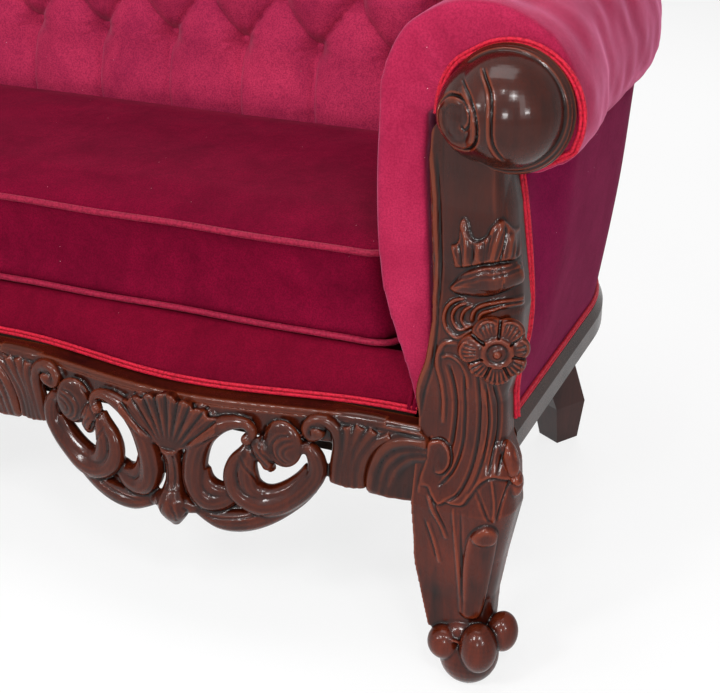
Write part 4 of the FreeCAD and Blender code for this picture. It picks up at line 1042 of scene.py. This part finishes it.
def makeRail():
    shape = copyNode("carved_front_rail", "rail")
    # its ends run in behind the posts' carved edges
    points = readPoints(shape)
    points[:, 0] += np.sign(points[:, 0]) * rail["longer"] * ramp(np.abs(points[:, 0]), 0.52, 0.025)
    writePoints(shape, points)
    sides = (1, -1)
    ends = [flatLobe([(side * d, z) for d, z in rail["board"]], 16, -5) for side in sides]
    ends += [railStrand([(side * d, z, r, f) for d, z, r, f in arc])
             for side in sides for arc in rail["arcs"]]
    right = joinPieces("ends", ends)
    shape = joinPieces("rail", [shape, right, mirrored(right, "endsLeft")])
    voxels(shape, rail["skin"], 2)
    work = Carving(shape, lambda p: np.column_stack([np.abs(np.abs(p[:, 0]) - motifMiddle), p[:, 2]]))
    up = work.points[:, 2]
    work.height += 1.5 * np.exp(-((up - rail["beadUp"]) / 0.0013) ** 2)
    work.height -= 1.3 * np.exp(-((up - rail["beadUp"] + 0.0034) / 0.0014) ** 2)
    work.finish()
    return markHollows(shape)


railPiece = makeRail()
print("rail carved:", len(railPiece.data.polygons), "faces")

dressPair(postRight, "post", mahogany, "front_post")
dressPair(flowerRight, "rosette", mahogany, "post_rosette")
dressPair(scrollRight, "scroll", mahogany, "arm_scroll")
dressPair(apronRight, "apron", apronWood, "carved_apron")
dress(railPiece, "front_rail", apronWood, "carved_front_rail")


# a line beside the right arm's roll line: along the arm from start, and round the corner
def alongRoll(out, start, straightSteps=12, turnSteps=26):
    line = [(rollLine + out, start + (cornerY - start) * i / straightSteps) for i in range(straightSteps)]
    for i in range(turnSteps + 1):
        a = math.pi / 2 * i / turnSteps
        reach = cornerRadius + out
        line.append((cornerX + reach * math.cos(a), cornerY + reach * math.sin(a)))
    return line


# Tufted back
tuft = {
    "pitch": 0.110, "row": 0.550, "rowPitch": 0.068,
    "foot": 0.3105, "top": 0.641, "deck": 0.356,
    "inLow": 0.106, "inHigh": 0.084, "inArm": 0.096,
    "crest": 0.0105,       # crest of a puff in front of the face
    "depth": 0.0225,       # crest to crease
    "fullness": 0.36, "sag": 0.12,
    "gathers": 0.0011,
    "fold": 0.0036, "crease": 0.0040,      # of the pleats between the channels
    "thick": 0.014,
    "button": (0.0092, 0.0092, 0.0055),
    "end": 0.4956,
    "pit": 0.015,          # a pit behind the crease
    "swell": 0.007,        # the channels swell over the cushion
    "grid": 0.0031,
}
tuftReach = cornerRadius - tuft["inHigh"]


def buttonPlaces():
    places = []
    for row in (0, 1):
        for i in range(-5, 6):
            along = (i + 0.5 * row) * tuft["pitch"]
            if abs(along) < tuft["end"] - 0.028:
                places.append((along, tuft["row"] + row * tuft["rowPitch"]))
    return places


def bell(value, middle, width):
    return np.exp(-((value - middle) / width) ** 2)


# points on the tufted face, for arrays of places along the back and up it
def tuftedPoints(along, height, lift=0.0):
    turned = smoothStep((np.abs(along) - cornerX) / tuftReach / (math.pi / 4))
    rise = smoothStep((height - tuft["deck"]) / (tuft["top"] - tuft["deck"]))
    raked = tuft["inLow"] + (tuft["inHigh"] - tuft["inLow"]) * rise
    base = raked + (tuft["inArm"] + 0.004 * rise - raked) * turned
    above = np.maximum(height - tuft["row"], 0)
    lean = above / (2 * tuft["rowPitch"])
    first = np.abs(np.sin(np.pi * (along / tuft["pitch"] + lean)))
    second = np.abs(np.sin(np.pi * (along / tuft["pitch"] - lean)))
    puff = (first * second) ** tuft["fullness"]
    # each puff sags a little, so that it is fullest below its middle
    level = np.mod(above / tuft["rowPitch"], 1.0)
    puff = puff * (1 - tuft["sag"] * np.sin(np.pi * level) * (height > tuft["row"]))
    depth = tuft["depth"] * (1 - 0.6 * turned) * (0.66 + 0.34 * smoothStep((height - 0.47) / 0.06))
    face = base + tuft["crest"] * (1 - turned) - depth * (1 - puff)
    face += tuft["swell"] * bell(height, 0.485, 0.035) * (1 - turned)
    for place, row in buttonPlaces():
        away = np.hypot(along - place, height - row)
        angle = np.arctan2(height - row, along - place)
        face -= tuft["pit"] * bell(away, 0, 0.015) * (1 - 0.4 * turned)
        gathers = tuft["gathers"] * np.cos(11 * angle + place * 50)
        face += gathers * bell(away, 0.019, 0.008) * (height > row - 0.012)
    # the channels' pleats are folded over to one side
    wander = 0.004 * np.sin((height - 0.40) * 28)
    pleat = (np.mod(along / tuft["pitch"] + 0.5, 1.0) - 0.5) * tuft["pitch"] - wander
    folded = np.clip((tuft["row"] - 0.006 - height) / 0.02, 0, 1) * (1 - 0.5 * turned)
    fold, crease = tuft["fold"], tuft["crease"]
    face += folded * (fold * np.tanh(pleat / 0.0022) * np.exp(-np.abs(pleat) / 0.026)
                      - crease * bell(pleat, 0, 0.0034))
    past = np.maximum(np.abs(along) - cornerX, 0) / tuftReach
    reach = cornerRadius - face - lift
    x = np.sign(along) * (np.minimum(np.abs(along), cornerX) + reach * np.sin(past))
    y = cornerY + reach * np.cos(past)
    return np.column_stack([x, y, height])


def makeTufts():
    tall = tuft["top"] - tuft["foot"]
    obj = flatGrid(int(2 * tuft["end"] / tuft["grid"]), int(tall / tuft["grid"]))
    flat = readPoints(obj)
    face = tuftedPoints(flat[:, 0] * tuft["end"], tuft["foot"] + (flat[:, 1] + 1) / 2 * tall)
    face[:, 1] += 0.0007 * softNoise(face, 0.02) + 0.0005 * softNoise(face, 0.008, 3.0)
    writePoints(obj, face)
    if sum(polygon.normal.y for polygon in obj.data.polygons) > 0:
        obj.data.flip_normals()
    modify(obj, "SOLIDIFY", thickness=tuft["thick"], offset=-1)
    return applyModifiers(obj)


def makeButtons():
    parts = []
    for along, height in buttonPlaces():
        place = np.array([along]), np.array([height])
        seat = tuftedPoints(*place)[0]
        ahead = tuftedPoints(*place, 0.001)[0] - seat
        obj = ball((0, 0, 0), tuft["button"], segments=28)
        turn = Vector(ahead).to_track_quat("Z", "Y").to_matrix().to_4x4()
        obj.matrix_world = Matrix.Translation(Vector(seat + ahead * 1.2)) @ turn
        parts.append(settle(obj))
    return joinPieces("buttons", parts)


tuftedPiece = makeTufts()
buttonPiece = makeButtons()
print("back tufted:", len(tuftedPiece.data.polygons), "faces")


# Arm pads and back roll
armPad = {
    "skin": 0.0042,
    "rollFrom": 0.62,
    "gives": 0.015, "givesBelow": 0.47,
    "wider": 0.16,
    # gathers in the front band, from the scroll outwards; in millimetres from the post's middle
    "gathers": [
        [(-48, 652), (-66, 664), (-84, 670)],
        [(-47, 672), (-62, 688), (-76, 702)],
        [(-36, 690), (-48, 708), (-60, 724)],
        [(-16, 704), (-24, 720), (-34, 734)],
        [(6, 712), (2, 726), (-4, 739)],
        [(-52, 630), (-70, 636), (-90, 636)],
        [(40, 710), (44, 724), (48, 735)],
        [(66, 690), (76, 702), (84, 712)],
    ],
}


def makeArmPad():
    shape = copyNode("arm_pad_right", "armPad")
    voxels(shape, armPad["skin"], 9)
    work = Carving(shape, fromFront(postMiddle))
    for gather in armPad["gathers"]:
        work.bead(gather, 3.4, -2.4, 0.3)
        work.bead([(x + 5, z + 3) for x, z in gather], 5.0, 1.4, 0.3)
    work.finish()
    points, normals = readPoints(shape), readNormals(shape)
    x, y, z = points.T
    facesSeat = (normals[:, 0] < -0.3) & (z < armPad["rollFrom"])
    wave = 0.0016 * softNoise(points, 0.035) + 0.0009 * softNoise(points, 0.013, 5.0)
    wave = np.where(facesSeat, -np.abs(wave) * 0.7, wave)
    # shallow folds that run round the roll
    wave += np.where(z > armPad["rollFrom"], 0.0007 * np.sin(y * 95 + z * 30), 0)
    # its inner face gives way to the cushion at the front
    giving = smoothStep((armPad["givesBelow"] - z) / 0.13) * smoothStep((-0.15 - y) / 0.10)
    x += armPad["gives"] * giving * np.clip((0.590 - x) / 0.03, 0, 1)
    # the front of the roll is as wide as the scroll
    forward = smoothStep((-0.10 - y) / 0.16) * smoothStep((z - 0.585) / 0.03)
    x += (x - rollLine).clip(0) * armPad["wider"] * forward
    quiet = np.clip((-y - 0.27) / 0.02, 0, 1) * (z < 0.60)
    return writePoints(shape, points + normals * (wave * (1 - quiet))[:, None])


backRollFolds = {"skin": 0.0046, "depth": 0.0075, "width": 0.007, "puff": 0.0015, "from": 0.63, "upTo": 0.735}


def makeBackRoll():
    shape = copyNode("back_roll", "backRoll")
    voxels(shape, backRollFolds["skin"], 6)
    points, normals = readPoints(shape), readNormals(shape)
    x, y, z = points.T
    past, behind = np.abs(x) - cornerX, y - cornerY
    turn = np.arctan2(past, behind)
    straight = past <= 0
    along = np.where(straight, np.abs(x), cornerX + tuftReach * turn)
    place = np.mod(along / tuft["pitch"] + 0.5, 1.0)
    gap = np.minimum(place, 1 - place) * tuft["pitch"]
    line = np.where(straight, y, cornerY + np.hypot(past, behind))
    front = np.clip((0.262 - line) / 0.05, 0, 1)
    fold = -backRollFolds["depth"] * np.exp(-(gap / backRollFolds["width"]) ** 1.3)
    fold -= backRollFolds["puff"] * np.cos(2 * np.pi * place)
    fade = front * np.clip((backRollFolds["upTo"] - z) / 0.06, 0, 1) * (z > backRollFolds["from"])
    wave = 0.0012 * softNoise(points, 0.04)
    return writePoints(shape, points + normals * (fold * fade * (turn < 0.8) + wave)[:, None])


armRight = makeArmPad()
backRoll = makeBackRoll()
print("arm pad:", len(armRight.data.polygons), "faces, back roll:", len(backRoll.data.polygons), "faces")


# Outer panels
panel = {
    "low": 0.307, "high": 0.588,
    "outLow": 0.035, "outHigh": 0.065,      # how far they stand outside the roll line
    "atPost": 0.042,                        # and at the post, where the cover is drawn in
    "drawnIn": 0.11,                        # length over which it is drawn in
    "bulge": 0.006, "thick": 0.005,
    "bend": 0.280,
    "cuts": (-0.245, -0.225, -0.205, -0.185, -0.165),       # where the rail behind it may bend
}


def panelOut(rise):
    bulge = panel["bulge"] * np.sin(np.pi * rise) * 0.6
    return panel["outLow"] + (panel["outHigh"] - panel["outLow"]) * rise + bulge


# a covered panel: line gives the plan for a place from 0 to 1 and a reach outwards
def makePanel(columns, line, middle):
    obj = flatGrid(columns, 34)
    flat = readPoints(obj)
    place, rise = (flat[:, 0] + 1) / 2, (flat[:, 1] + 1) / 2
    height = panel["low"] + (panel["high"] - panel["low"]) * rise
    points = np.column_stack([line(place, panelOut(rise)), height])
    ripple = 0.0012 * softNoise(points, 0.06, 1.0) * (rise * (1 - rise) * 4)
    writePoints(obj, np.column_stack([line(place, panelOut(rise) + ripple), height]))
    modify(obj, "SOLIDIFY", thickness=panel["thick"], offset=-1)
    # its faces look away from the middle of the settee before it gets its thickness
    if sum(polygon.normal.dot(polygon.center - Vector(middle)) for polygon in obj.data.polygons) < 0:
        obj.data.flip_normals()
    return applyModifiers(obj)


def armLine(place, out):
    straight, bend = cornerY - panelStart, panel["bend"]
    way = place * (straight + bend * math.pi / 2)
    out = out - (out - panel["atPost"]).clip(0) * (1 - smoothStep(way / panel["drawnIn"]))
    reach = cornerRadius + out
    turn = np.maximum(way - straight, 0) / bend
    x = np.where(way < straight, rollLine + out, cornerX + reach * np.cos(turn))
    y = np.where(way < straight, way + panelStart, cornerY + reach * np.sin(turn))
    return np.column_stack([x, y])


def backPanelLine(place, out):
    return np.column_stack([(place - 0.5) * 2 * cornerX, backLine + out])


def makeTopRail():      # the rail under the roll, chamfered behind the post as the cover is
    shape = copyNode("arm_top_rail_right", "topRail")
    editAll(shape)
    for place in panel["cuts"]:
        bpy.ops.mesh.bisect(plane_co=(0, place, 0), plane_no=(0, 1, 0))
        bpy.ops.mesh.select_all(action="SELECT")
    editDone(shape)
    points = readPoints(shape)
    way = points[:, 1] - panelStart
    drawn = (panel["outHigh"] - panel["atPost"]) * (1 - smoothStep(way / panel["drawnIn"]))
    limit = np.where(way < 0.15, rollLine + (panel["outHigh"] - drawn) - 0.009, 1.0)
    points[:, 0] = np.minimum(points[:, 0], limit)
    return writePoints(shape, points)


topRail = makeTopRail()
panelRight = makePanel(90, armLine, (0.2, 0, 0.45))
backPanel = makePanel(80, backPanelLine, (0, 0, 0.45))
print("panels covered")


# Seat
seat = {
    "skin": 0.0068,
    "pressure": 4.0, "frames": 20,
    "cap": 0.012,           # furthest that the filling may push the cover
    "low": 0.362, "high": 0.463,
    "half": 0.5025, "front": -0.253, "rear": 0.1535, "frontCorner": 0.026, "rearCorner": 0.115,
    "wider": 0.011,
    "pinch": 0.0028,
    "welt": 0.0036, "sunk": 0.007,
}


def roundedPlan(steps=14):
    half, front, rear = seat["half"], seat["front"], seat["rear"]
    small, large = seat["frontCorner"], seat["rearCorner"]
    corners = [(half - small, front + small, small, -90), (half - large, rear - large, large, 0),
               (-half + large, rear - large, large, 90), (-half + small, front + small, small, 180)]
    line = []
    for x, y, radius, start in corners:
        for i in range(steps + 1):
            a = math.radians(start + 90 * i / steps)
            line.append((x + radius * math.cos(a), y + radius * math.sin(a)))
    return line


def evenLine(line, gap):        # points at even steps round a closed line
    line = np.array(line + [line[0]])
    lengths = np.concatenate([[0], np.cumsum(np.linalg.norm(np.diff(line, axis=0), axis=1))])
    stops = np.linspace(0, lengths[-1], int(lengths[-1] / gap), endpoint=False)
    return np.column_stack([np.interp(stops, lengths, line[:, i]) for i in range(line.shape[1])])


def wider(points):      # the cushion's front ends bulge out below its upper edge
    x, y, z = points.T
    out = smoothStep((np.abs(x) - 0.44) / 0.07) * smoothStep((-0.12 - y) / 0.12)
    x += np.sign(x) * seat["wider"] * out * smoothStep((0.452 - z) / 0.06)
    return points


def fillCushion(shape, before):     # how far the filling pushes each vertex of the cover
    cloth = modify(shape, "CLOTH")
    cloth.settings.quality = 5
    cloth.settings.use_pressure = True
    cloth.settings.uniform_pressure_force = seat["pressure"]
    cloth.settings.effector_weights.gravity = 0
    cloth.point_cache.frame_start = 1
    cloth.point_cache.frame_end = seat["frames"]
    for step in range(1, seat["frames"] + 1):
        bpy.context.scene.frame_set(step)
    filled = shape.evaluated_get(bpy.context.evaluated_depsgraph_get())
    moved = readVectors(filled.data.vertices, "co") - before
    shape.modifiers.clear()
    bpy.context.scene.frame_set(1)
    far = np.linalg.norm(moved, axis=1)
    return moved * (np.minimum(far, seat["cap"]) / np.maximum(far, 1e-9))[:, None]


def makeCushion():
    shape = copyNode("seat_cushion", "cushion")
    voxels(shape, seat["skin"], 2)
    writePoints(shape, wider(readPoints(shape)))
    before = readPoints(shape)
    moved = fillCushion(shape, before)
    # the seams hold the cover, and the sides stay clear of the arms and the deck
    x, y, z = before.T
    seam = np.minimum(np.abs(z - seat["low"]), np.abs(z - seat["high"]))
    free = 1 - bell(seam, 0, 0.018)
    top = z > seat["high"]
    front = (y < -0.225) & ~top
    moved *= (free * np.where(top, 1.0, np.where(front, 0.55, 0.0)))[:, None]
    points = before + moved
    dents = 0.0022 * softNoise(points, 0.09, 2.0) + 0.0011 * softNoise(points, 0.03, 4.0)
    pinch = -seat["pinch"] * bell(points[:, 2], 0.412, 0.03) * (np.abs(points[:, 0]) > 0.44) * front
    amount = np.where(top, dents, np.where(front, dents * 0.7 + pinch, 0)) * free
    writePoints(shape, points + readNormals(shape) * amount[:, None])
    modify(shape, "SUBSURF", levels=1, render_levels=1)
    return applyModifiers(shape)


def makeWelts():
    parts = []
    for level in (seat["low"], seat["high"]):
        plan = evenLine(roundedPlan(), 0.008)
        wave = 0.0006 * np.sin(plan[:, 0] * 31) * (plan[:, 1] < -0.2)
        # the upper one lies lower at the back, out of sight
        sunk = seat["sunk"] * ramp(plan[:, 1], 0.02, 0.06) * (level > 0.4)
        line = wider(np.column_stack([plan, level + wave - sunk]))
        parts.append(strand([(*place, seat["welt"]) for place in line], 3, True))
    return joinPieces("welts", parts)


border = {
    "skin": 0.0036, "longer": 0.029, "swell": 0.0022,
    "cords": (0.5505, 0.5447), "cord": 0.0029,      # two cords down either end: across, and radius
}


def makeBorder():
    shape = copyNode("front_border", "border")
    voxels(shape, border["skin"], 3)
    points, normals = readPoints(shape), readNormals(shape)
    x, y, z = points.T
    x += np.sign(x) * border["longer"] * ramp(np.abs(x), 0.45, 0.075)
    swell = border["swell"] * np.sin(np.pi * ramp(z, 0.309, 0.045)) + 0.0009 * softNoise(points, 0.05)
    writePoints(shape, points + normals * (swell * np.clip(-normals[:, 1], 0, 1))[:, None])
    ends = []
    for side in (-1, 1):
        for out in border["cords"]:
            ends.append(strand([(side * out, -0.289 + 0.02 * t, 0.311 + 0.044 * t, border["cord"])
                                for t in np.linspace(0, 1, 9)]))
    return joinPieces("border", [shape] + ends)


def makeDeck():
    shape = copyNode("deck_pad", "deck")
    voxels(shape, 0.008, 3)
    points, normals = readPoints(shape), readNormals(shape)
    dip = -0.0022 * np.abs(softNoise(points, 0.11)) * np.clip(normals[:, 2], 0, 1)
    return writePoints(shape, points + normals * dip[:, None])


cushionPiece = makeCushion()
weltPiece = makeWelts()
borderPiece = makeBorder()
deckPiece = makeDeck()
print("seat made:", len(cushionPiece.data.polygons), "faces")


# Gimp: a double cord, the upper one set in or out a little
gimp = {
    "cord": 0.0020, "base": 0.3096, "gap": 0.0038,
    "out": 0.0385,          # outside the roll line and the back line
    "frontEnd": 0.554, "frontBack": 0.0237,
    # up the edge of the post, and round the scroll; in millimetres
    "postEdge": [(655, 310), (653, 343), (656, 375), (662, 404), (664, 440), (660, 490), (653, 545),
                 (646, 588)],
    "postCords": ((0.0022, -0.0012), (0.0004, 0.0032)),
    "scrollMiddle": (0.648, 0.646), "scrollRadius": 0.0645,
    "scrollCords": ((0.0, -0.3035), (0.0038, -0.3027)),
    "scrollEnd": [(0.5965, 0.6905), (0.5865, 0.6790), (0.5800, 0.6650), (0.5765, 0.6500), (0.5750, 0.6350)],
}


def doubleCord(lines):
    return joinPieces("gimp", [strand([(*place, gimp["cord"]) for place in line]) for line in lines])


def makeFrontGimp():
    xs = np.linspace(-gimp["frontEnd"], gimp["frontEnd"], 184)
    face = bowed(xs) + gimp["frontBack"]
    return doubleCord([[(x, y + back, gimp["base"] + up) for x, y in zip(xs, face)]
                       for up, back in ((0.0, 0.0015), (gimp["gap"], 0.0032))])


def makeSideGimp():
    return doubleCord([[(x, y, gimp["base"] + up) for x, y in alongRoll(gimp["out"] + back, -0.2568)]
                       for up, back in ((0.0, 0.0), (gimp["gap"], -0.0006))])


def makeBackGimp():
    xs = np.linspace(-cornerX, cornerX, 60)
    return doubleCord([[(x, backLine + gimp["out"] + back, gimp["base"] + up) for x in xs]
                       for up, back in ((0.0, 0.0), (gimp["gap"], -0.0006))])


def makePostGimp():
    edge = smoothPath(gimp["postEdge"], 6.0)
    return doubleCord([[(x / 1000 - back, -0.2605 + deep, z / 1000) for x, z in edge]
                       for back, deep in gimp["postCords"]])


def makeScrollGimp():
    lines = []
    middle, up = gimp["scrollMiddle"]
    for grown, y in gimp["scrollCords"]:
        line = [(0.6500 + grown * 0.2, 0.5935 - grown), (0.6620 + grown * 0.3, 0.5965 - grown),
                (0.6780 + grown * 0.4, 0.6020 - grown), (0.6920 + grown * 0.6, 0.6085 - grown * 0.8)]
        for degrees in range(-28, 125, 4):
            a = math.radians(degrees)
            reach = gimp["scrollRadius"] + grown
            line.append((middle + reach * math.cos(a), up + reach * math.sin(a)))
        line += [(x - grown * 0.8, z + grown * 0.5) for x, z in gimp["scrollEnd"]]
        smooth = smoothPath([(x * 1000, z * 1000) for x, z in line], 4.0) / 1000
        lines.append([(x, y, z) for x, z in smooth])
    return doubleCord(lines)


frontGimp, sideGimp, backGimp = makeFrontGimp(), makeSideGimp(), makeBackGimp()
postGimp, scrollGimp = makePostGimp(), makeScrollGimp()
print("gimp laid")

dress(tuftedPiece, "tufted_back", tuftVelvet, "tufted_back")
dress(buttonPiece, "back_buttons", tuftVelvet, "back_buttons")
dress(backRoll, "back_roll", armVelvet, "back_roll")
pads = dressPair(armRight, "arm_pad", armVelvet, "arm_pad")
dressPair(panelRight, "outer_arm", panelVelvet, "outer_arm")
# the arm's top rail is darkened to painted shade, where it shows in the gap under the roll
dressPair(topRail, "top_rail", shadowBeech, "arm_top_rail")
dress(backPanel, "outer_back", panelVelvet, "outer_back")
dress(cushionPiece, "seat_cushion", seatVelvet, "seat_cushion", "cushion")
dress(weltPiece, "cushion_welts", weltVelvet, "cushion_welts", "cushion")
dress(borderPiece, "front_border", borderVelvet, "front_border")
dress(deckPiece, "deck_pad", seatVelvet, "deck_pad")
dress(frontGimp, "gimp_front", gimpCord, "gimp_front")
dress(backGimp, "gimp_back", gimpCord, "gimp_back")
dressPair(sideGimp, "gimp_side", gimpCord, "gimp_side")
dressPair(postGimp, "gimp_post", gimpCord, "gimp_post")
dressPair(scrollGimp, "gimp_scroll", gimpCord, "gimp_scroll")
print("upholstery dressed")


# Stretched cloths under the seat, cut to the node's plan, with a slight sag
coverSag = 0.003


def makeCover(node):
    low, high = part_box(node)
    shape = copyNode(node, node)
    editAll(shape)
    bpy.ops.mesh.quads_convert_to_tris()
    bpy.ops.mesh.subdivide(number_cuts=7)
    editDone(shape)
    size = (high.x - low.x, high.y - low.y)
    points = readPoints(shape)
    middle = [(low.x + high.x) / 2, (low.y + high.y) / 2]
    inside = np.clip(1 - np.abs(points[:, :2] - middle) / [size[0] / 2, size[1] / 2], 0, 1)
    points[:, 2] -= coverSag * np.sqrt(inside[:, 0] * inside[:, 1])
    writePoints(shape, points)
    dress(shape, node, lining, node)


for node in ("spring_cover", "dust_cover"):
    makeCover(node)
print("covers made")


# CAD pieces that stay as they are: a finish by slot, and some of their own
# the beech slot takes the beech darkened to painted shade
slotFinishes = {"mahogany": railWood, "beech": shadowBeech, "steel": springSteel}
ownFinishes = {
    "rear_leg_right": legWood, "rear_leg_left": legWood,
    "arm_tack_rail_right": beech, "arm_tack_rail_left": beech, "back_tack_rail": beech,
    "corner_upright_right": beech, "corner_upright_left": beech, "back_centre_post": beech,
}
slots = {subpart["node"]: subpart["material_slot"] for subpart in frame["record"]["subparts"]}
for name, obj in frame["nodes"].items():
    if not obj.hide_render:
        obj.data.materials.clear()
        obj.data.materials.append(ownFinishes.get(name) or slotFinishes[slots[name]])
print("frame nodes dressed")


# Floor, backdrop and light
def seenWhite(tree, *rays):     # 1 where one of these rays meets the surface
    path = tree.nodes.new("ShaderNodeLightPath")
    seen = Value(tree, path.outputs["Is Camera Ray"])
    for ray in rays:
        seen = seen.math("MAXIMUM", seen, Value(tree, path.outputs[ray]))
    return seen


def mixInto(tree, output, factor, first, second):
    mix = tree.nodes.new("ShaderNodeMixShader")
    for place, socket in enumerate((factor.socket, first.outputs[0], second.outputs[0])):
        tree.links.new(socket, mix.inputs[place])
    tree.links.new(mix.outputs[0], tree.nodes[output].inputs["Surface"])


def whiteWorld(level):
    world = bpy.data.worlds.new("studio")
    world.use_nodes = True
    tree = world.node_tree
    back = tree.nodes["Background"]
    back.inputs["Color"].default_value = (level, level, level * 1.02, 1)
    white = tree.nodes.new("ShaderNodeBackground")
    white.inputs["Color"].default_value = (1, 1, 1, 1)
    mixInto(tree, "World Output", seenWhite(tree, "Is Glossy Ray", "Is Transmission Ray"), back, white)
    bpy.context.scene.world = world


def floorFinish():
    material = bpy.data.materials.new("floor")
    material.use_nodes = True
    tree = material.node_tree
    shader = tree.nodes["Principled BSDF"]
    shader.inputs["Base Color"].default_value = (0.9, 0.9, 0.9, 1)
    shader.inputs["Roughness"].default_value = 0.9
    glow = tree.nodes.new("ShaderNodeEmission")
    glow.inputs["Color"].default_value = (1, 1, 1, 1)
    # a share of the shader is left, so that the floor keeps its shadow
    mixInto(tree, "Material Output", seenWhite(tree, "Is Glossy Ray") * 0.8, shader, glow)
    return material


lights = {
    "world": 0.24, "floor": 14,
    # place, aim, width, height, watts
    "lamps": [
        ((-1.3, -2.6, 2.3), (0.3, -0.2, 0.4), 1.2, 1.2, 5),
        ((-0.2, -2.2, 1.9), (0.6, -0.3, 0.4), 0.46, 0.46, 26),
        ((1.6, -2.1, 2.3), (0.6, -0.3, 0.4), 0.46, 0.46, 24),
        ((1.1, -2.5, 0.8), (0.6, -0.3, 0.4), 0.34, 0.34, 9),
        ((0.7, -2.2, 2.7), (0.5, -0.3, 0.4), 0.18, 0.18, 7),
        ((-0.9, -2.0, 1.1), (0.4, -0.3, 0.4), 0.18, 0.18, 6),
        ((2.2, -1.5, 0.9), (0.6, -0.3, 0.4), 0.18, 0.18, 5),
        ((2.3, -1.9, 1.5), (0.6, -0.2, 0.4), 0.5, 1.8, 9),
        ((0.2, -0.4, 2.9), (0.2, 0.0, 0.4), 1.8, 1.2, 29),
        ((0.0, 2.6, 2.2), (0.0, 0.2, 0.5), 1.6, 1.0, 30),
    ],
}
deselect()
bpy.ops.mesh.primitive_plane_add(size=lights["floor"], location=(0, 0, -0.0005))
floor = bpy.context.active_object
floor.name = "floor"
floor.data.materials.append(floorFinish())
whiteWorld(lights["world"])
for place, aim, width, height, watts in lights["lamps"]:
    bpy.ops.object.light_add(type="AREA", location=place)
    lamp = bpy.context.active_object
    lamp.data.shape = "RECTANGLE" if width != height or width > 1 else "ELLIPSE"
    lamp.data.size, lamp.data.size_y = width, height
    lamp.data.energy = watts
    lamp.rotation_euler = (Vector(aim) - Vector(place)).to_track_quat("-Z", "Y").to_euler()
bpy.context.scene.view_settings.view_transform = "Standard"
print("floor and light set")
